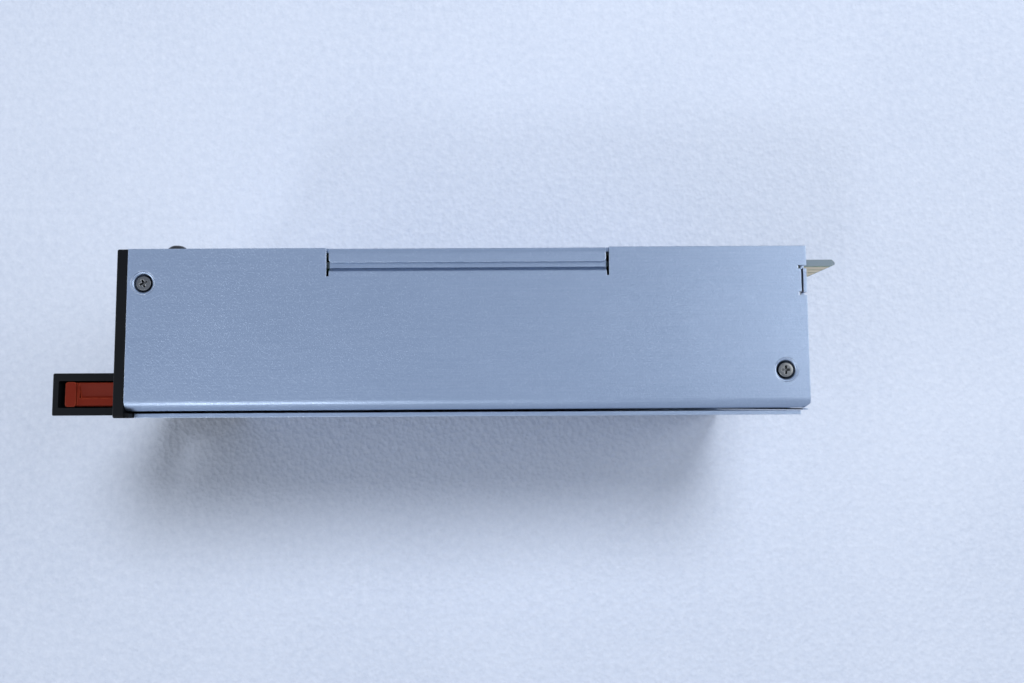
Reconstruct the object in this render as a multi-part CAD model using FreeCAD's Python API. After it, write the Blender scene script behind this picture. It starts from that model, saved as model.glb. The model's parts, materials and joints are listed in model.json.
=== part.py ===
# Hot swap server power supply module, lying on one side wall.
# The module is drawn in its own numbers: x runs back from the bezel's front face,
# y runs from mid-height towards the bottom plate, z runs up from the wall it lies on.
# Every piece is then moved by `to_row`, so that the origin is at the base centre.
import FreeCAD, Part
import math
import os
from FreeCAD import Vector

# ---- driving dimensions, in millimetres ----
body_length = 163.5
body_width = 86.0
half_height = 20.0
sheet = 1.0
bezel_thick = 2.5
bezel_corner = 0.6
bezel_round = 0.3
handle_reach = 18.4
tongue_reach = 8.7
latch_proud = 2.3

wall_top = body_width
wall_under = body_width - sheet
plate_in = half_height - sheet

# sheet metal
sheet_start = 2.6
fit_gap = 0.1
inner_bend = 1.0
outer_bend = 2.0
return_edge_z = 83.0
front_tab_x = (3.4, 10.0)
front_tab_z = (83.1, 84.1)
front_tab_y = 7.5
stud_at = (33.4, 68.2)
stud_r = 1.45
stud_top = 14.6
hook_window = (21.4, 32.0, 6.6, 13.9)

# cover
cover_flange_y = -18.4
cover_bend = 2.4
cover_flange_depth = 14.0
cutout_x = (49.6, 116.7)
cutout_y = 14.6
flange_x = (50.2, 115.95)
flange_y = 16.5
dimple_wide = 2.9
dimple_hole = 1.65
near_screws = ((6.3, 11.8), (158.0, -9.5))
far_screws = ((6.3, -2.0), (158.0, -9.5))
screw_head = 1.98
screw_neck = 1.63
screw_shank = 1.4
head_side = 0.78
head_deep = 1.2
head_sunk = 0.3
notch_y = (8.2, 15.3)

# rear panel
panel_thick = 0.8
panel_x = body_length - panel_thick

# handle and release bar
handle_z = (8.0, 78.0)
handle_y = (-19.4, -9.1)
handle_plate = 1.85
handle_front = 1.3
handle_corner = 0.4
finger_z = (20.0, 66.0)
snap_z = ((9.5, 12.6), (68.0, 76.0))
bar_x = (-15.45, -12.85)
bar_y = (-17.25, -11.25)
tail_y = (-16.0, -12.5)
tail_z = (10.0, 17.0)
bezel_screw_at = (11.2, 78.0)
bezel_screw_r = 2.5

# latch
pivot_x = 10.0
pivot_y = 15.2
pivot_r = 1.49
crank_arm = 7.5
crank_pin_r = 1.25
link_z = (13.4, 14.4)
hook_z = (7.5, 10.5)

rivet_at = (6.6, -14.25)
rivet_r = 1.0
spring_coil_r = 2.35
spring_wire_r = 0.2
spring_turns = 3.75
spring_rise = 0.46
spring_low_z = 11.05

# fan, 36 mm square and 28 mm deep
fan_side = 36.0
fan_x = (3.3, 31.3)
fan_y = 0.8
fan_z = 35.8
fan_hole_pitch = 30.5
duct_r = 16.9
blade_r = 16.4
blade_count = 7
hub_r = 10.0

# mains inlet
inlet_y = 7.0
inlet_z = 68.2
inlet_size = (19.6, 27.2)
cavity_size = (16.6, 24.6)
cavity_depth = 16.0

# light pipe
pipe_y = 13.6
pipe_z = 3.0
pipe_r = 1.45

# main board
board_y = (15.7, 17.3)
board_x = (36.5, 162.2)
board_z = (1.9, 82.0)
tongue_z = (26.0, 82.0)
standoff_at = (
    (40.0, 10.4),
    (40.0, 40.0),
    (98.0, 60.3),
    (116.0, 6.0),
    (150.0, 6.0),
    (148.0, 61.5),
)


post_r = 2.6
post_bore_r = 1.5
post_hole_r = 1.6
board_screw_r = 1.45
board_screw_head = 1.8
film_thick = 0.25
tongue_bevel = 0.55
key_z = (44.2, 45.8)
key_deep = 7.0
plate_deep = 0.06
# contact pads: first edge, pitch, width and count
signal_pads = (27.4, 1.55, 1.05, 11)
power_pads = (46.8, 4.35, 3.6, 8)

# parts on the board, placed by x and z; a ring is outer radius, inner radius, top, bottom
fuse_at = (53.0, 79.0)
filter_chokes = ((53.6, 64.0), (53.6, 29.5))
choke_ring = (9.6, 5.4, 4.6, 13.0)
boost_at = (88.0, 47.6)
boost_ring = (10.8, 6.0, 1.4, 12.8)
winding_wall = 1.5
disc_x = 67.6
bulk_x = (71.5, 112.0)
bulk_z = 18.6
bulk_r = 15.0
primary_sink_x = (86.0, 118.0)
output_sink_x = (122.0, 146.0)
sink_y = (-13.5, 12.6)
sink_z = (66.0, 69.0, 81.0)
fin_thick = 1.2
fin_count = 6
transformer_at = (131.0, 43.0)
output_choke_at = (153.4, 70.6)
output_can_x = 156.4
output_can_z = 17.0
output_can_pitch = 9.2
output_can_count = 5
output_can_tall = 12.4
control_x = (119.6, 146.4)
control_z = (5.2, 6.6)
control_chip_places = (
    (123.0, -4.0, 7.0, 7.0),
    (133.0, -2.0, 6.0, 5.0),
    (133.5, 6.0, 5.0, 4.0),
    (124.0, 6.0, 6.0, 3.2),
    (141.2, -4.4, 4.0, 4.0),
)


# ---- drawing helpers ----
def box(x0, x1, y0, y1, z0, z1):
    return Part.makeBox(x1 - x0, y1 - y0, z1 - z0, Vector(x0, y0, z0))


def rod_x(x0, x1, y, z, r):
    return Part.makeCylinder(r, x1 - x0, Vector(x0, y, z), Vector(1, 0, 0))


def rod_y(y0, y1, x, z, r):
    return Part.makeCylinder(r, y1 - y0, Vector(x, y0, z), Vector(0, 1, 0))


def rod_z(z0, z1, x, y, r):
    return Part.makeCylinder(r, z1 - z0, Vector(x, y, z0), Vector(0, 0, 1))


def cone_z(z0, z1, x, y, r0, r1):
    return Part.makeCone(r0, r1, z1 - z0, Vector(x, y, z0), Vector(0, 0, 1))


def joined(shapes):
    return shapes[0].fuse(list(shapes[1:])).removeSplitter()


def without(shape, cutters):
    return shape.cut(list(cutters))


def group(shapes):
    return Part.makeCompound(list(shapes))


def face_from(points, place):
    """A flat face through points (u, v, corner radius); place turns (u, v) into a vector."""
    corners = []
    for index, (u, v, radius) in enumerate(points):
        here = Vector(u, v, 0)
        before = Vector(points[index - 1][0], points[index - 1][1], 0)
        following = points[(index + 1) % len(points)]
        after = Vector(following[0], following[1], 0)
        if not radius:
            corners.append((here, here, None))
            continue
        back = (before - here).normalize()
        ahead = (after - here).normalize()
        half = back.getAngle(ahead) / 2
        inward = (back + ahead).normalize()
        middle = here + inward * (radius / math.sin(half) - radius)
        reach = radius / math.tan(half)
        corners.append((here + back * reach, here + ahead * reach, middle))
    edges = []
    for index, (start, end, middle) in enumerate(corners):
        if middle is not None:
            edges.append(Part.Arc(place(start), place(middle), place(end)).toShape())
        next_start = corners[(index + 1) % len(corners)][0]
        if (next_start - end).Length > 1e-6:
            edges.append(Part.makeLine(place(end), place(next_start)))
    return Part.Face(Part.Wire(edges))


def along_x(points, x0, x1):
    """Extrudes a (y, z, radius) outline from x0 to x1."""
    return face_from(points, lambda p: Vector(x0, p.x, p.y)).extrude(Vector(x1 - x0, 0, 0))


def along_y(points, y0, y1):
    """Extrudes an (x, z, radius) outline from y0 to y1."""
    return face_from(points, lambda p: Vector(p.x, y0, p.y)).extrude(Vector(0, y1 - y0, 0))


def along_z(points, z0, z1):
    """Extrudes an (x, y, radius) outline from z0 to z1."""
    return face_from(points, lambda p: Vector(p.x, p.y, z0)).extrude(Vector(0, 0, z1 - z0))


def rectangle(u0, u1, v0, v1, radius):
    return ((u0, v0, radius), (u1, v0, radius), (u1, v1, radius), (u0, v1, radius))


def hexagon_x(x0, x1, y, z, r):
    angles = [k * math.pi / 3 for k in range(6)]
    corners = [(y + r * math.cos(a), z + r * math.sin(a), 0) for a in angles]
    return along_x(corners, x0, x1)


def wire_run(points, r, bend=2.6):
    """A round wire through the points, with an arc at each turn."""
    places = [Vector(*p) for p in points]
    edges = []
    start = places[0]
    for before, here, after in zip(places, places[1:], places[2:]):
        back = (before - here).normalize()
        ahead = (after - here).normalize()
        half = back.getAngle(ahead) / 2
        reach = bend / math.tan(half)
        middle = here + (back + ahead).normalize() * (bend / math.sin(half) - bend)
        edges.append(Part.makeLine(start, here + back * reach))
        start = here + ahead * reach
        edges.append(Part.Arc(here + back * reach, middle, start).toShape())
    edges.append(Part.makeLine(start, places[-1]))
    ring = Part.Wire([Part.makeCircle(r, places[0], places[1] - places[0])])
    return Part.Wire(edges).makePipeShell([ring], True, False)


def to_row(shape):
    moved = shape.copy()
    moved.translate(Vector(
        handle_reach - (handle_reach + body_length + tongue_reach) / 2,
        -latch_proud / 2,
        0,
    ))
    return moved


# ---- sheet metal ----
def dimple_solid(x, y, wall_inside, inward):
    """The metal pushed inward round a countersunk screw."""
    z0 = min(wall_inside, wall_inside + inward * 0.8)
    return rod_z(z0, z0 + 0.8, x, y, dimple_wide + 0.5)


def dimple_cut(x, y, wall_outside, inward):
    tip = wall_outside + inward * 1.5
    if inward > 0:
        funnel = cone_z(wall_outside, tip, x, y, dimple_wide, dimple_hole)
    else:
        funnel = cone_z(tip, wall_outside, x, y, dimple_hole, dimple_wide)
    return funnel.fuse(rod_z(wall_outside - 3, wall_outside + 3, x, y, dimple_hole))


def chassis_shell():
    """Bottom plate, far wall and top return, bent from one sheet."""
    edge_z = wall_under - fit_gap
    profile = (
        (half_height, edge_z, 0),
        (half_height, 0, outer_bend),
        (-half_height, 0, outer_bend),
        (-half_height, return_edge_z, 0),
        (-plate_in, return_edge_z, 0),
        (-plate_in, sheet, inner_bend),
        (plate_in, sheet, inner_bend),
        (plate_in, edge_z, 0),
    )
    shell = along_x(profile, sheet_start, body_length)
    fold = (
        (half_height, return_edge_z, 0),
        (half_height, wall_top, 1.6),
        (flange_y, wall_top, 0),
        (flange_y, wall_under, 0),
        (plate_in, wall_under, 0.6),
        (plate_in, return_edge_z, 0),
    )
    flange = along_x(fold, *flange_x)
    free_corners = [
        edge
        for edge in flange.Edges
        if edge.BoundBox.ZLength > 0.9
        and edge.BoundBox.YLength < 0.01
        and edge.BoundBox.XLength < 0.01
        and abs(edge.BoundBox.YMin - flange_y) < 0.01
    ]
    flange = flange.makeFillet(0.8, free_corners)
    under, over = front_tab_z
    tab = along_x((
        (half_height, 80.0, 0),
        (half_height, over, 1.6),
        (front_tab_y, over, 0),
        (front_tab_y, under, 0),
        (plate_in, under, 0.6),
        (plate_in, 80.0, 0),
    ), *front_tab_x)
    stud = rod_y(stud_top, plate_in, *stud_at, stud_r)
    bosses = [dimple_solid(x, y, sheet, 1) for x, y in far_screws]
    cutters = [dimple_cut(x, y, 0, 1) for x, y in far_screws]
    cutters.append(box(0, 3.8, -half_height - 1, -18.9, -1, 90))
    cutters.append(box(162.1, 170, -half_height - 1, -plate_in, 1.2, 90))
    cutters.append(box(0, 3.1, 19.2, 21, -1, 90))
    cutters.append(box(0, 10.4, 17.5, 21, 84.1, 90))
    cutters.append(rod_y(18, 21, bezel_screw_at[0], bezel_screw_at[1], 1.7))
    cutters.append(rod_z(82, 85, near_screws[0][0], near_screws[0][1], 1.45))
    cutters.append(along_y(rectangle(*hook_window, 1.0), 18, 21))
    shell = without(shell.fuse([tab, *bosses]), cutters)
    shell = joined([shell, flange, stud])
    return shell


def side_cover():
    """Near wall with its top flange, rear notch, and joggled tab behind the chassis flange."""
    inner_z = wall_top - cover_flange_depth
    profile = (
        (half_height, wall_top, 0),
        (cover_flange_y, wall_top, cover_bend),
        (cover_flange_y, inner_z, 0),
        (cover_flange_y + sheet, inner_z, 0),
        (cover_flange_y + sheet, wall_under, cover_bend - sheet),
        (half_height, wall_under, 0),
    )
    cover = along_x(profile, sheet_start, body_length)
    step = sheet + 0.06
    joggle = along_x((
        (12.9, wall_top, 0),
        (cutout_y - 0.3, wall_top, 0.6),
        (cutout_y - 0.3 + step, wall_top - step, 0),
        (18.5, wall_top - step, 0),
        (18.5, wall_under - step, 0),
        (cutout_y - 0.7 + step, wall_under - step, 0),
        (cutout_y - 0.7, wall_under, 0),
        (12.9, wall_under, 0),
    ), flange_x[0], flange_x[1] + 0.15)
    bosses = [dimple_solid(x, y, wall_under, -1) for x, y in near_screws]
    cutters = [dimple_cut(x, y, wall_top, -1) for x, y in near_screws]
    cutters.append(box(cutout_x[0], cutout_x[1], 13.2, 21, 80, 90))
    cutters.append(box(162.2, 170, notch_y[0], notch_y[1], 80, 90))
    cutters.append(box(161.5, 170, notch_y[1] - 0.8, notch_y[1], 80, 90))
    cutters.append(box(161.5, 170, notch_y[0], notch_y[0] + 0.8, 80, 90))
    cutters.append(box(0, 4.0, -19, -16.5, 60, 83.4))
    corner = (body_length, cover_flange_y)
    cutters.append(along_z((
        (corner[0] - 1.1, corner[1] - 0.1, 0),
        (corner[0] + 0.2, corner[1] - 0.1, 0),
        (corner[0] + 0.2, corner[1] + 1.2, 0),
    ), 60, 90))
    cover = without(cover.fuse(bosses), cutters)
    return joined([cover, joggle])


def rear_panel():
    """End wall with honeycomb vents, a gap for the board and a folded flange on each side."""
    plate = along_x(rectangle(-17.2, 18.8, 1.9, 84.1, 1.0), panel_x, body_length)
    band = along_y((
        (152.5, 84.1, 0),
        (body_length, 84.1, 1.4),
        (body_length, 1.9, 1.4),
        (152.5, 1.9, 0),
        (152.5, 2.9, 0),
        (panel_x, 2.9, 0.5),
        (panel_x, 83.1, 0.5),
        (152.5, 83.1, 0),
    ), -15.5, -3.5)
    x, y = near_screws[1]
    nuts = [rod_z(2.9, 3.9, x, y, 2.5), rod_z(82.1, 83.1, x, y, 2.5)]
    tab = box(panel_x, body_length, notch_y[0] + 0.7, notch_y[1] - 0.7, 83.9, wall_top - 0.05)
    cutters = [rod_z(1, 5, x, y, 1.45), rod_z(81, 85, x, y, 1.45)]
    cutters.append(box(160, 170, 15.0, 20, tongue_z[0] - 1.2, 83.4))
    for row in range(5):
        shift = 3.2 if row % 2 else 0.0
        for column in range(12 if row % 2 else 13):
            centre_y = -12.6 + 5.6 * row
            centre_z = 4.9 + 6.35 * column + shift
            cutters.append(hexagon_x(160, 170, centre_y, centre_z, 2.9))
    return without(joined([plate, band, tab, *nuts]), cutters)


# ---- front end ----
def fan_vent_centres():
    """Honeycomb hole centres that lie inside the fan's duct."""
    centres = []
    for row in range(-4, 5):
        shift = 2.5 if row % 2 else 0.0
        for column in range(-4, 5):
            dy = row * 4.35
            dz = column * 5.0 + shift
            if math.hypot(dy, dz) < 14.6:
                centres.append((fan_y + dy, fan_z + dz))
    return centres


def fan_corners():
    half = fan_hole_pitch / 2
    return [(fan_y + a * half, fan_z + b * half) for a in (-1, 1) for b in (-1, 1)]


def front_bezel():
    """Black front frame with its vents, inlet opening, latch ears and screw lugs."""
    plate = along_x(rectangle(-half_height, half_height, 0, body_width, bezel_corner), 0, bezel_thick)
    front_edges = [edge for edge in plate.Edges if edge.BoundBox.XMax < 0.01]
    plate = plate.makeFillet(bezel_round, front_edges)
    lip_top = box(bezel_thick, 3.6, -half_height, -18.95, 0.6, 85.4)
    lip_low = box(bezel_thick, 3.0, 19.25, half_height, 0.6, 84.8)
    ears = [
        along_z((
            (bezel_thick - 0.5, 12.0, 0),
            (pivot_x, 12.0, 0),
            (13.2, 12.0, 3.1),
            (13.2, 18.7, 3.1),
            (bezel_thick - 0.5, 18.7, 0),
        ), z0, z0 + 2.0)
        for z0 in (5.2, 14.3)
    ]
    far_lug = along_z(rectangle(bezel_thick - 0.5, 10.3, -6.0, 2.0, 0.4), 1.9, 7.0)
    low_lug = box(bezel_thick - 0.5, 15.5, 17.2, 18.9, 74.5, 81.5)
    frame = plate.fuse([lip_top, lip_low, far_lug, low_lug, *ears])
    cutters = [hexagon_x(-1, 4, y, z, 2.35) for y, z in fan_vent_centres()]
    half_y = inlet_size[0] / 2 + 0.1
    half_z = inlet_size[1] / 2 + 0.1
    cutters.append(box(-1, 4, inlet_y - half_y, inlet_y + half_y, inlet_z - half_z, inlet_z + half_z))
    cutters.append(box(-1, 4, tail_y[0] - 0.4, tail_y[1] + 0.4, tail_z[0] - 0.4, tail_z[1] + 0.4))
    cutters.append(rod_x(-1, 4, pipe_y, pipe_z, pipe_r + 0.05))
    cutters.append(rod_z(4, 17, pivot_x, pivot_y, pivot_r + 0.01))
    cutters.append(rod_z(1, 8, far_screws[0][0], far_screws[0][1], screw_shank + 0.02))
    cutters.append(rod_y(16, 20, bezel_screw_at[0], bezel_screw_at[1], screw_shank + 0.02))
    for y, z in fan_corners():
        cutters.append(Part.makeCone(2.9, 1.6, 1.7, Vector(0, y, z), Vector(1, 0, 0)))
        cutters.append(rod_x(-1, 4, y, z, 1.6))
    for z0, z1 in snap_z:
        cutters.append(box(-1, 6, -10.9, -9.15, z0 - 0.05, z1 + 0.05))
        cutters.append(box(-1, 2.05, -19.15, -17.8, z0 - 0.05, z1 + 0.05))
    return without(frame, cutters).removeSplitter()


def pull_handle():
    """Channel-shaped handle with open ends; its back lips are cut away for the fingers."""
    y0, y1 = handle_y
    front = -handle_reach
    inside = front + handle_front
    channel = along_z((
        (0, y0, 0),
        (front, y0, handle_corner),
        (front, y1, handle_corner),
        (0, y1, 0),
        (0, y1 - handle_plate, 0),
        (inside, y1 - handle_plate, handle_corner),
        (inside, y0 + handle_plate, handle_corner),
        (0, y0 + handle_plate, 0),
    ), *handle_z)
    grip = along_y((
        (-13.4, finger_z[0], 2.0),
        (-13.4, finger_z[1], 2.0),
        (1, finger_z[1], 0),
        (1, finger_z[0], 0),
    ), y0 - 1, y1 + 1)
    pieces = [channel.cut(grip)]
    for z0, z1 in snap_z:
        pieces.append(box(-0.5, 2.0, -19.1, -17.85, z0, z1))
        pieces.append(along_z((
            (-0.5, -9.2, 0),
            (5.2, -9.2, 0),
            (5.2, -10.6, 0),
            (2.75, -11.5, 0),
            (2.75, -10.85, 0),
            (-0.5, -10.85, 0),
        ), z0, z1))
    return joined(pieces)


def release_bar():
    """Squeeze bar with an arm at each end; the far arm runs through the bezel as a tail."""
    x0, x1 = bar_x
    y0, y1 = bar_y
    bar = along_z(rectangle(x0, x1, y0, y1, 0.6), 8.2, 77.8)
    arms = [
        along_x(rectangle(y0, y1, z0, z1, 0.5), x1 - 0.8, -0.35)
        for z0, z1 in ((8.8, 19.5), (66.5, 77.2))
    ]
    tail = box(-1.0, 9.2, tail_y[0], tail_y[1], tail_z[0], tail_z[1])
    cutters = [box(4.4, 10, -17, -11, link_z[0] - 0.02, link_z[1] + 0.02)]
    cutters.append(rod_z(9, 18, *rivet_at, rivet_r))
    for side, deep in ((77.2, -1.0), (8.8, 1.0)):
        cutters.append(along_x((
            (y1, side - deep * 0.1, 0),
            (y1, side, 0),
            (-15.2, side + deep, 0),
            (-15.2, side - deep * 0.1, 0),
        ), -12.3, -0.3))
    return without(joined([bar, tail, *arms]), cutters).removeSplitter()


def release_link():
    """Steel strip that carries the bar's pull down to the crank pin."""
    strip = along_z((
        (4.7, -15.6, 0.6),
        (8.8, -15.6, 0.6),
        (8.8, 2.6, 1.0),
        (13.8, 4.6, 1.2),
        (13.8, 10.6, 1.2),
        (6.0, 10.6, 1.2),
        (4.7, 4.0, 1.5),
    ), *link_z)
    pin_y = pivot_y - crank_arm
    slot = along_z(rectangle(8.45, 11.55, pin_y - 1.75, pin_y + 1.85, 0.4), 12, 16)
    return without(strip, [slot, rod_z(12, 16, *rivet_at, rivet_r)])


def latch_hook():
    """Bell crank: a short arm with a pin, and a long arm with the hook nose."""
    z0, z1 = hook_z
    hub = rod_z(z0, z1 + 0.2, pivot_x, pivot_y, 3.2)
    long_arm = along_z((
        (10.0, 12.2, 0),
        (22.0, 13.0, 0),
        (29.2, 14.4, 1.0),
        (29.2, 17.6, 0.6),
        (22.0, 17.6, 0),
        (10.0, 18.4, 0),
    ), z0, z1)
    nose = along_z((
        (22.95, 16.6, 0),
        (22.75, half_height + latch_proud, 0.5),
        (24.6, half_height + latch_proud, 0.6),
        (29.2, 17.6, 0.4),
        (29.2, 16.6, 0),
    ), z0, z1 + 2.4)
    nose_root = box(22.95, 29.2, 15.2, 16.7, z0, z1 + 2.4)
    pin_y = pivot_y - crank_arm
    short_arm = along_z((
        (7.8, 14.0, 0),
        (pivot_x - 2.2, pin_y - 2.2, 2.1),
        (pivot_x + 2.2, pin_y - 2.2, 2.1),
        (12.2, 14.0, 0),
    ), z0, z1)
    pin = rod_z(z1 - 0.5, 15.2, pivot_x, pin_y, crank_pin_r)
    crank = joined([hub, long_arm, nose, nose_root, short_arm, pin])
    return crank.cut(rod_z(z0 - 1, z1 + 1, pivot_x, pivot_y, pivot_r + 0.05))


def latch_pin():
    return rod_z(5.2, 16.3, pivot_x, pivot_y, pivot_r)


def link_rivet():
    return rod_z(10.0, 17.0, *rivet_at, rivet_r - 0.01)


def wire_along(path):
    """Round spring wire swept along a line or a helix."""
    first = path.Edges[0]
    start = first.valueAt(first.FirstParameter)
    heading = first.tangentAt(first.FirstParameter)
    ring = Part.Wire([Part.makeCircle(spring_wire_r, start, heading)])
    return Part.Wire(path.Edges).makePipeShell([ring], True, True)


def latch_spring():
    """Torsion spring round the latch pin; one leg on the bezel, one behind the crank pin."""
    high_z = spring_low_z + spring_rise * spring_turns
    helix = Part.makeHelix(spring_rise, spring_rise * spring_turns, spring_coil_r)
    helix.rotate(Vector(0, 0, 0), Vector(0, 0, 1), 270)
    helix.translate(Vector(pivot_x, pivot_y, spring_low_z))
    frame_y = pivot_y - spring_coil_r
    frame_leg = Part.makeLine(
        Vector(bezel_thick + 0.4, frame_y, spring_low_z),
        Vector(pivot_x + 0.8, frame_y, spring_low_z + 0.02),
    )
    crank_x = pivot_x - spring_coil_r
    crank_leg = Part.makeLine(
        Vector(crank_x, pivot_y + 0.5, high_z),
        Vector(crank_x + 0.9, pivot_y - crank_arm - 0.7, high_z),
    )
    coil, low_leg, high_leg = [wire_along(path) for path in (helix, frame_leg, crank_leg)]
    return coil.fuse([low_leg, high_leg])


def cross_slot_z(x, y, z0, z1):
    return [
        box(x - 1.4, x + 1.4, y - 0.28, y + 0.28, z0, z1),
        box(x - 0.28, x + 0.28, y - 1.4, y + 1.4, z0, z1),
    ]


def wall_screws():
    """Sunk cross-head screws, seated in the dimples: two in each wall."""
    screws = []
    for (x, y), length in zip(near_screws, (3.6, 5.5)):
        top = wall_top - head_sunk
        side = top - head_side
        neck = top - head_deep
        head = rod_z(side, top, x, y, screw_head)
        head = head.fuse(cone_z(neck, side, x, y, screw_neck, screw_head))
        shank = rod_z(top - length, neck, x, y, screw_shank)
        screws.append(head.fuse(shank).cut(cross_slot_z(x, y, top - 0.75, top)))
    for (x, y), length in zip(far_screws, (6.5, 5.5)):
        side = head_sunk + head_side
        neck = head_sunk + head_deep
        head = rod_z(head_sunk, side, x, y, screw_head)
        head = head.fuse(cone_z(side, neck, x, y, screw_head, screw_neck))
        shank = rod_z(neck, head_sunk + length, x, y, screw_shank)
        screws.append(head.fuse(shank).cut(cross_slot_z(x, y, head_sunk, head_sunk + 0.75)))
    return group(screws)


def bezel_screw():
    """Domed screw through the bottom plate into the bezel's lower lug."""
    x, z = bezel_screw_at
    dome = 1.2 * bezel_screw_r
    ball = Part.makeSphere(dome, Vector(x, half_height + latch_proud - dome, z))
    head = ball.common(rod_y(half_height, half_height + latch_proud + 1, x, z, bezel_screw_r))
    shank = rod_y(17.3, half_height + 0.1, x, z, screw_shank)
    cross = [
        box(x - 1.4, x + 1.4, 21.3, 24, z - 0.3, z + 0.3),
        box(x - 0.3, x + 0.3, 21.3, 24, z - 1.4, z + 1.4),
    ]
    return head.fuse(shank).cut(cross)


# ---- fan ----
def fan_frame():
    """Square fan housing with a round waist, four rear struts and the bearing tube."""
    x0, x1 = fan_x
    half = fan_side / 2
    front = along_x(rectangle(fan_y - half, fan_y + half, fan_z - half, fan_z + half, 2.0), x0, x0 + 3.6)
    back = along_x(rectangle(fan_y - half, fan_y + half, fan_z - half, fan_z + half, 2.0), x1 - 3.6, x1)
    waist = rod_x(x0, x1, fan_y, fan_z, half - 0.05)
    shell = joined([front, back, waist]).cut(rod_x(x0 - 1, x1 + 1, fan_y, fan_z, duct_r))
    base = rod_x(x1 - 2.6, x1 - 0.6, fan_y, fan_z, 9.0)
    tube = rod_x(12.5, x1 - 2.0, fan_y, fan_z, 3.2)
    struts = []
    for turn in (45, 135, 225, 315):
        strut = box(x1 - 2.6, x1 - 0.6, fan_y + 8.0, fan_y + duct_r + 0.5, fan_z - 1.1, fan_z + 1.1)
        strut.rotate(Vector(0, fan_y, fan_z), Vector(1, 0, 0), turn)
        struts.append(strut)
    frame = joined([shell, base, tube, *struts])
    cutters = [rod_x(12, x1 - 1.4, fan_y, fan_z, 2.5)]
    cutters.extend(rod_x(x0 - 1, x1 + 1, y, z, 1.35) for y, z in fan_corners())
    return without(frame, cutters)


def fan_blade(turn):
    """One twisted blade, lofted through radial sections."""
    sections = []
    for x, angle in ((7.4, 0.0), (12.4, 17.0), (17.4, 33.0), (22.4, 47.0)):
        thick = 0.45
        corners = [(9.4, -thick), (blade_r, -thick), (blade_r, thick), (9.4, thick)]
        swing = math.radians(angle + turn)
        points = []
        for radial, across in corners:
            y = fan_y + radial * math.cos(swing) - across * math.sin(swing)
            z = fan_z + radial * math.sin(swing) + across * math.cos(swing)
            points.append(Vector(x, y, z))
        sections.append(Part.makePolygon(points + [points[0]]))
    return Part.makeLoft(sections, True, False)


def fan_rotor():
    cup = rod_x(6.0, 26.8, fan_y, fan_z, hub_r)
    front_rim = [edge for edge in cup.Edges if edge.BoundBox.XMax < 6.01]
    cup = cup.makeFillet(0.9, front_rim)
    cup = cup.cut(rod_x(7.6, 30, fan_y, fan_z, 8.8))
    boss = rod_x(7.0, 10.6, fan_y, fan_z, 2.4)
    blades = [fan_blade(360.0 * k / blade_count) for k in range(blade_count)]
    rotor = cup.fuse([boss, *blades])
    return rotor.cut(rod_x(7.0, 12, fan_y, fan_z, 1.0))


def fan_magnet():
    return rod_x(11.5, 25.8, fan_y, fan_z, 8.78).cut(rod_x(11, 27, fan_y, fan_z, 7.9))


def fan_shaft():
    return rod_x(7.0, 29.2, fan_y, fan_z, 0.99)


def fan_bearings():
    rings = []
    for x0 in (12.5, 26.4):
        ring = rod_x(x0, x0 + 2.3, fan_y, fan_z, 2.49)
        rings.append(ring.cut(rod_x(x0 - 1, x0 + 4, fan_y, fan_z, 1.03)))
    return group(rings)


def fan_stator():
    """Laminated core with four wound poles on the bearing tube."""
    core = rod_x(15.0, 23.0, fan_y, fan_z, 4.4)
    poles = []
    for turn in (0, 90, 180, 270):
        neck = box(15.0, 23.0, fan_y + 3.6, fan_y + 6.9, fan_z - 0.8, fan_z + 0.8)
        coil = box(14.2, 23.8, fan_y + 4.3, fan_y + 6.3, fan_z - 2.1, fan_z + 2.1)
        shoe = rod_x(15.0, 23.0, fan_y, fan_z, 7.5).cut(rod_x(14, 24, fan_y, fan_z, 6.7))
        shoe = shoe.common(box(15.0, 23.0, fan_y + 4, fan_y + 8, fan_z - 3.6, fan_z + 3.6))
        for piece in (neck, coil, shoe):
            piece.rotate(Vector(0, fan_y, fan_z), Vector(1, 0, 0), turn)
            poles.append(piece)
    return joined([core, *poles]).cut(rod_x(12, 26, fan_y, fan_z, 3.21))


def fan_screws():
    """Countersunk screws through the bezel into the fan's corner holes."""
    screws = []
    for y, z in fan_corners():
        head = Part.makeCone(2.75, 1.3, 1.6, Vector(0.1, y, z), Vector(1, 0, 0))
        shank = rod_x(1.6, 9.0, y, z, 1.3)
        cross = [
            box(-1, 0.8, y - 1.3, y + 1.3, z - 0.28, z + 0.28),
            box(-1, 0.8, y - 0.28, y + 0.28, z - 1.3, z + 1.3),
        ]
        screws.append(head.fuse(shank).cut(cross))
    return group(screws)


def fan_lead():
    """Wires from the fan's rear to its plug on the board."""
    runs = []
    for k in range(3):
        z = 48.4 + 1.3 * k
        route = ((31.7, 14.0, z), (34.4, 14.0, z), (36.0, 11.7, z), (38.7, 11.7, z))
        runs.append(wire_run(route, 0.55, 1.4))
    return group(runs)


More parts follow.
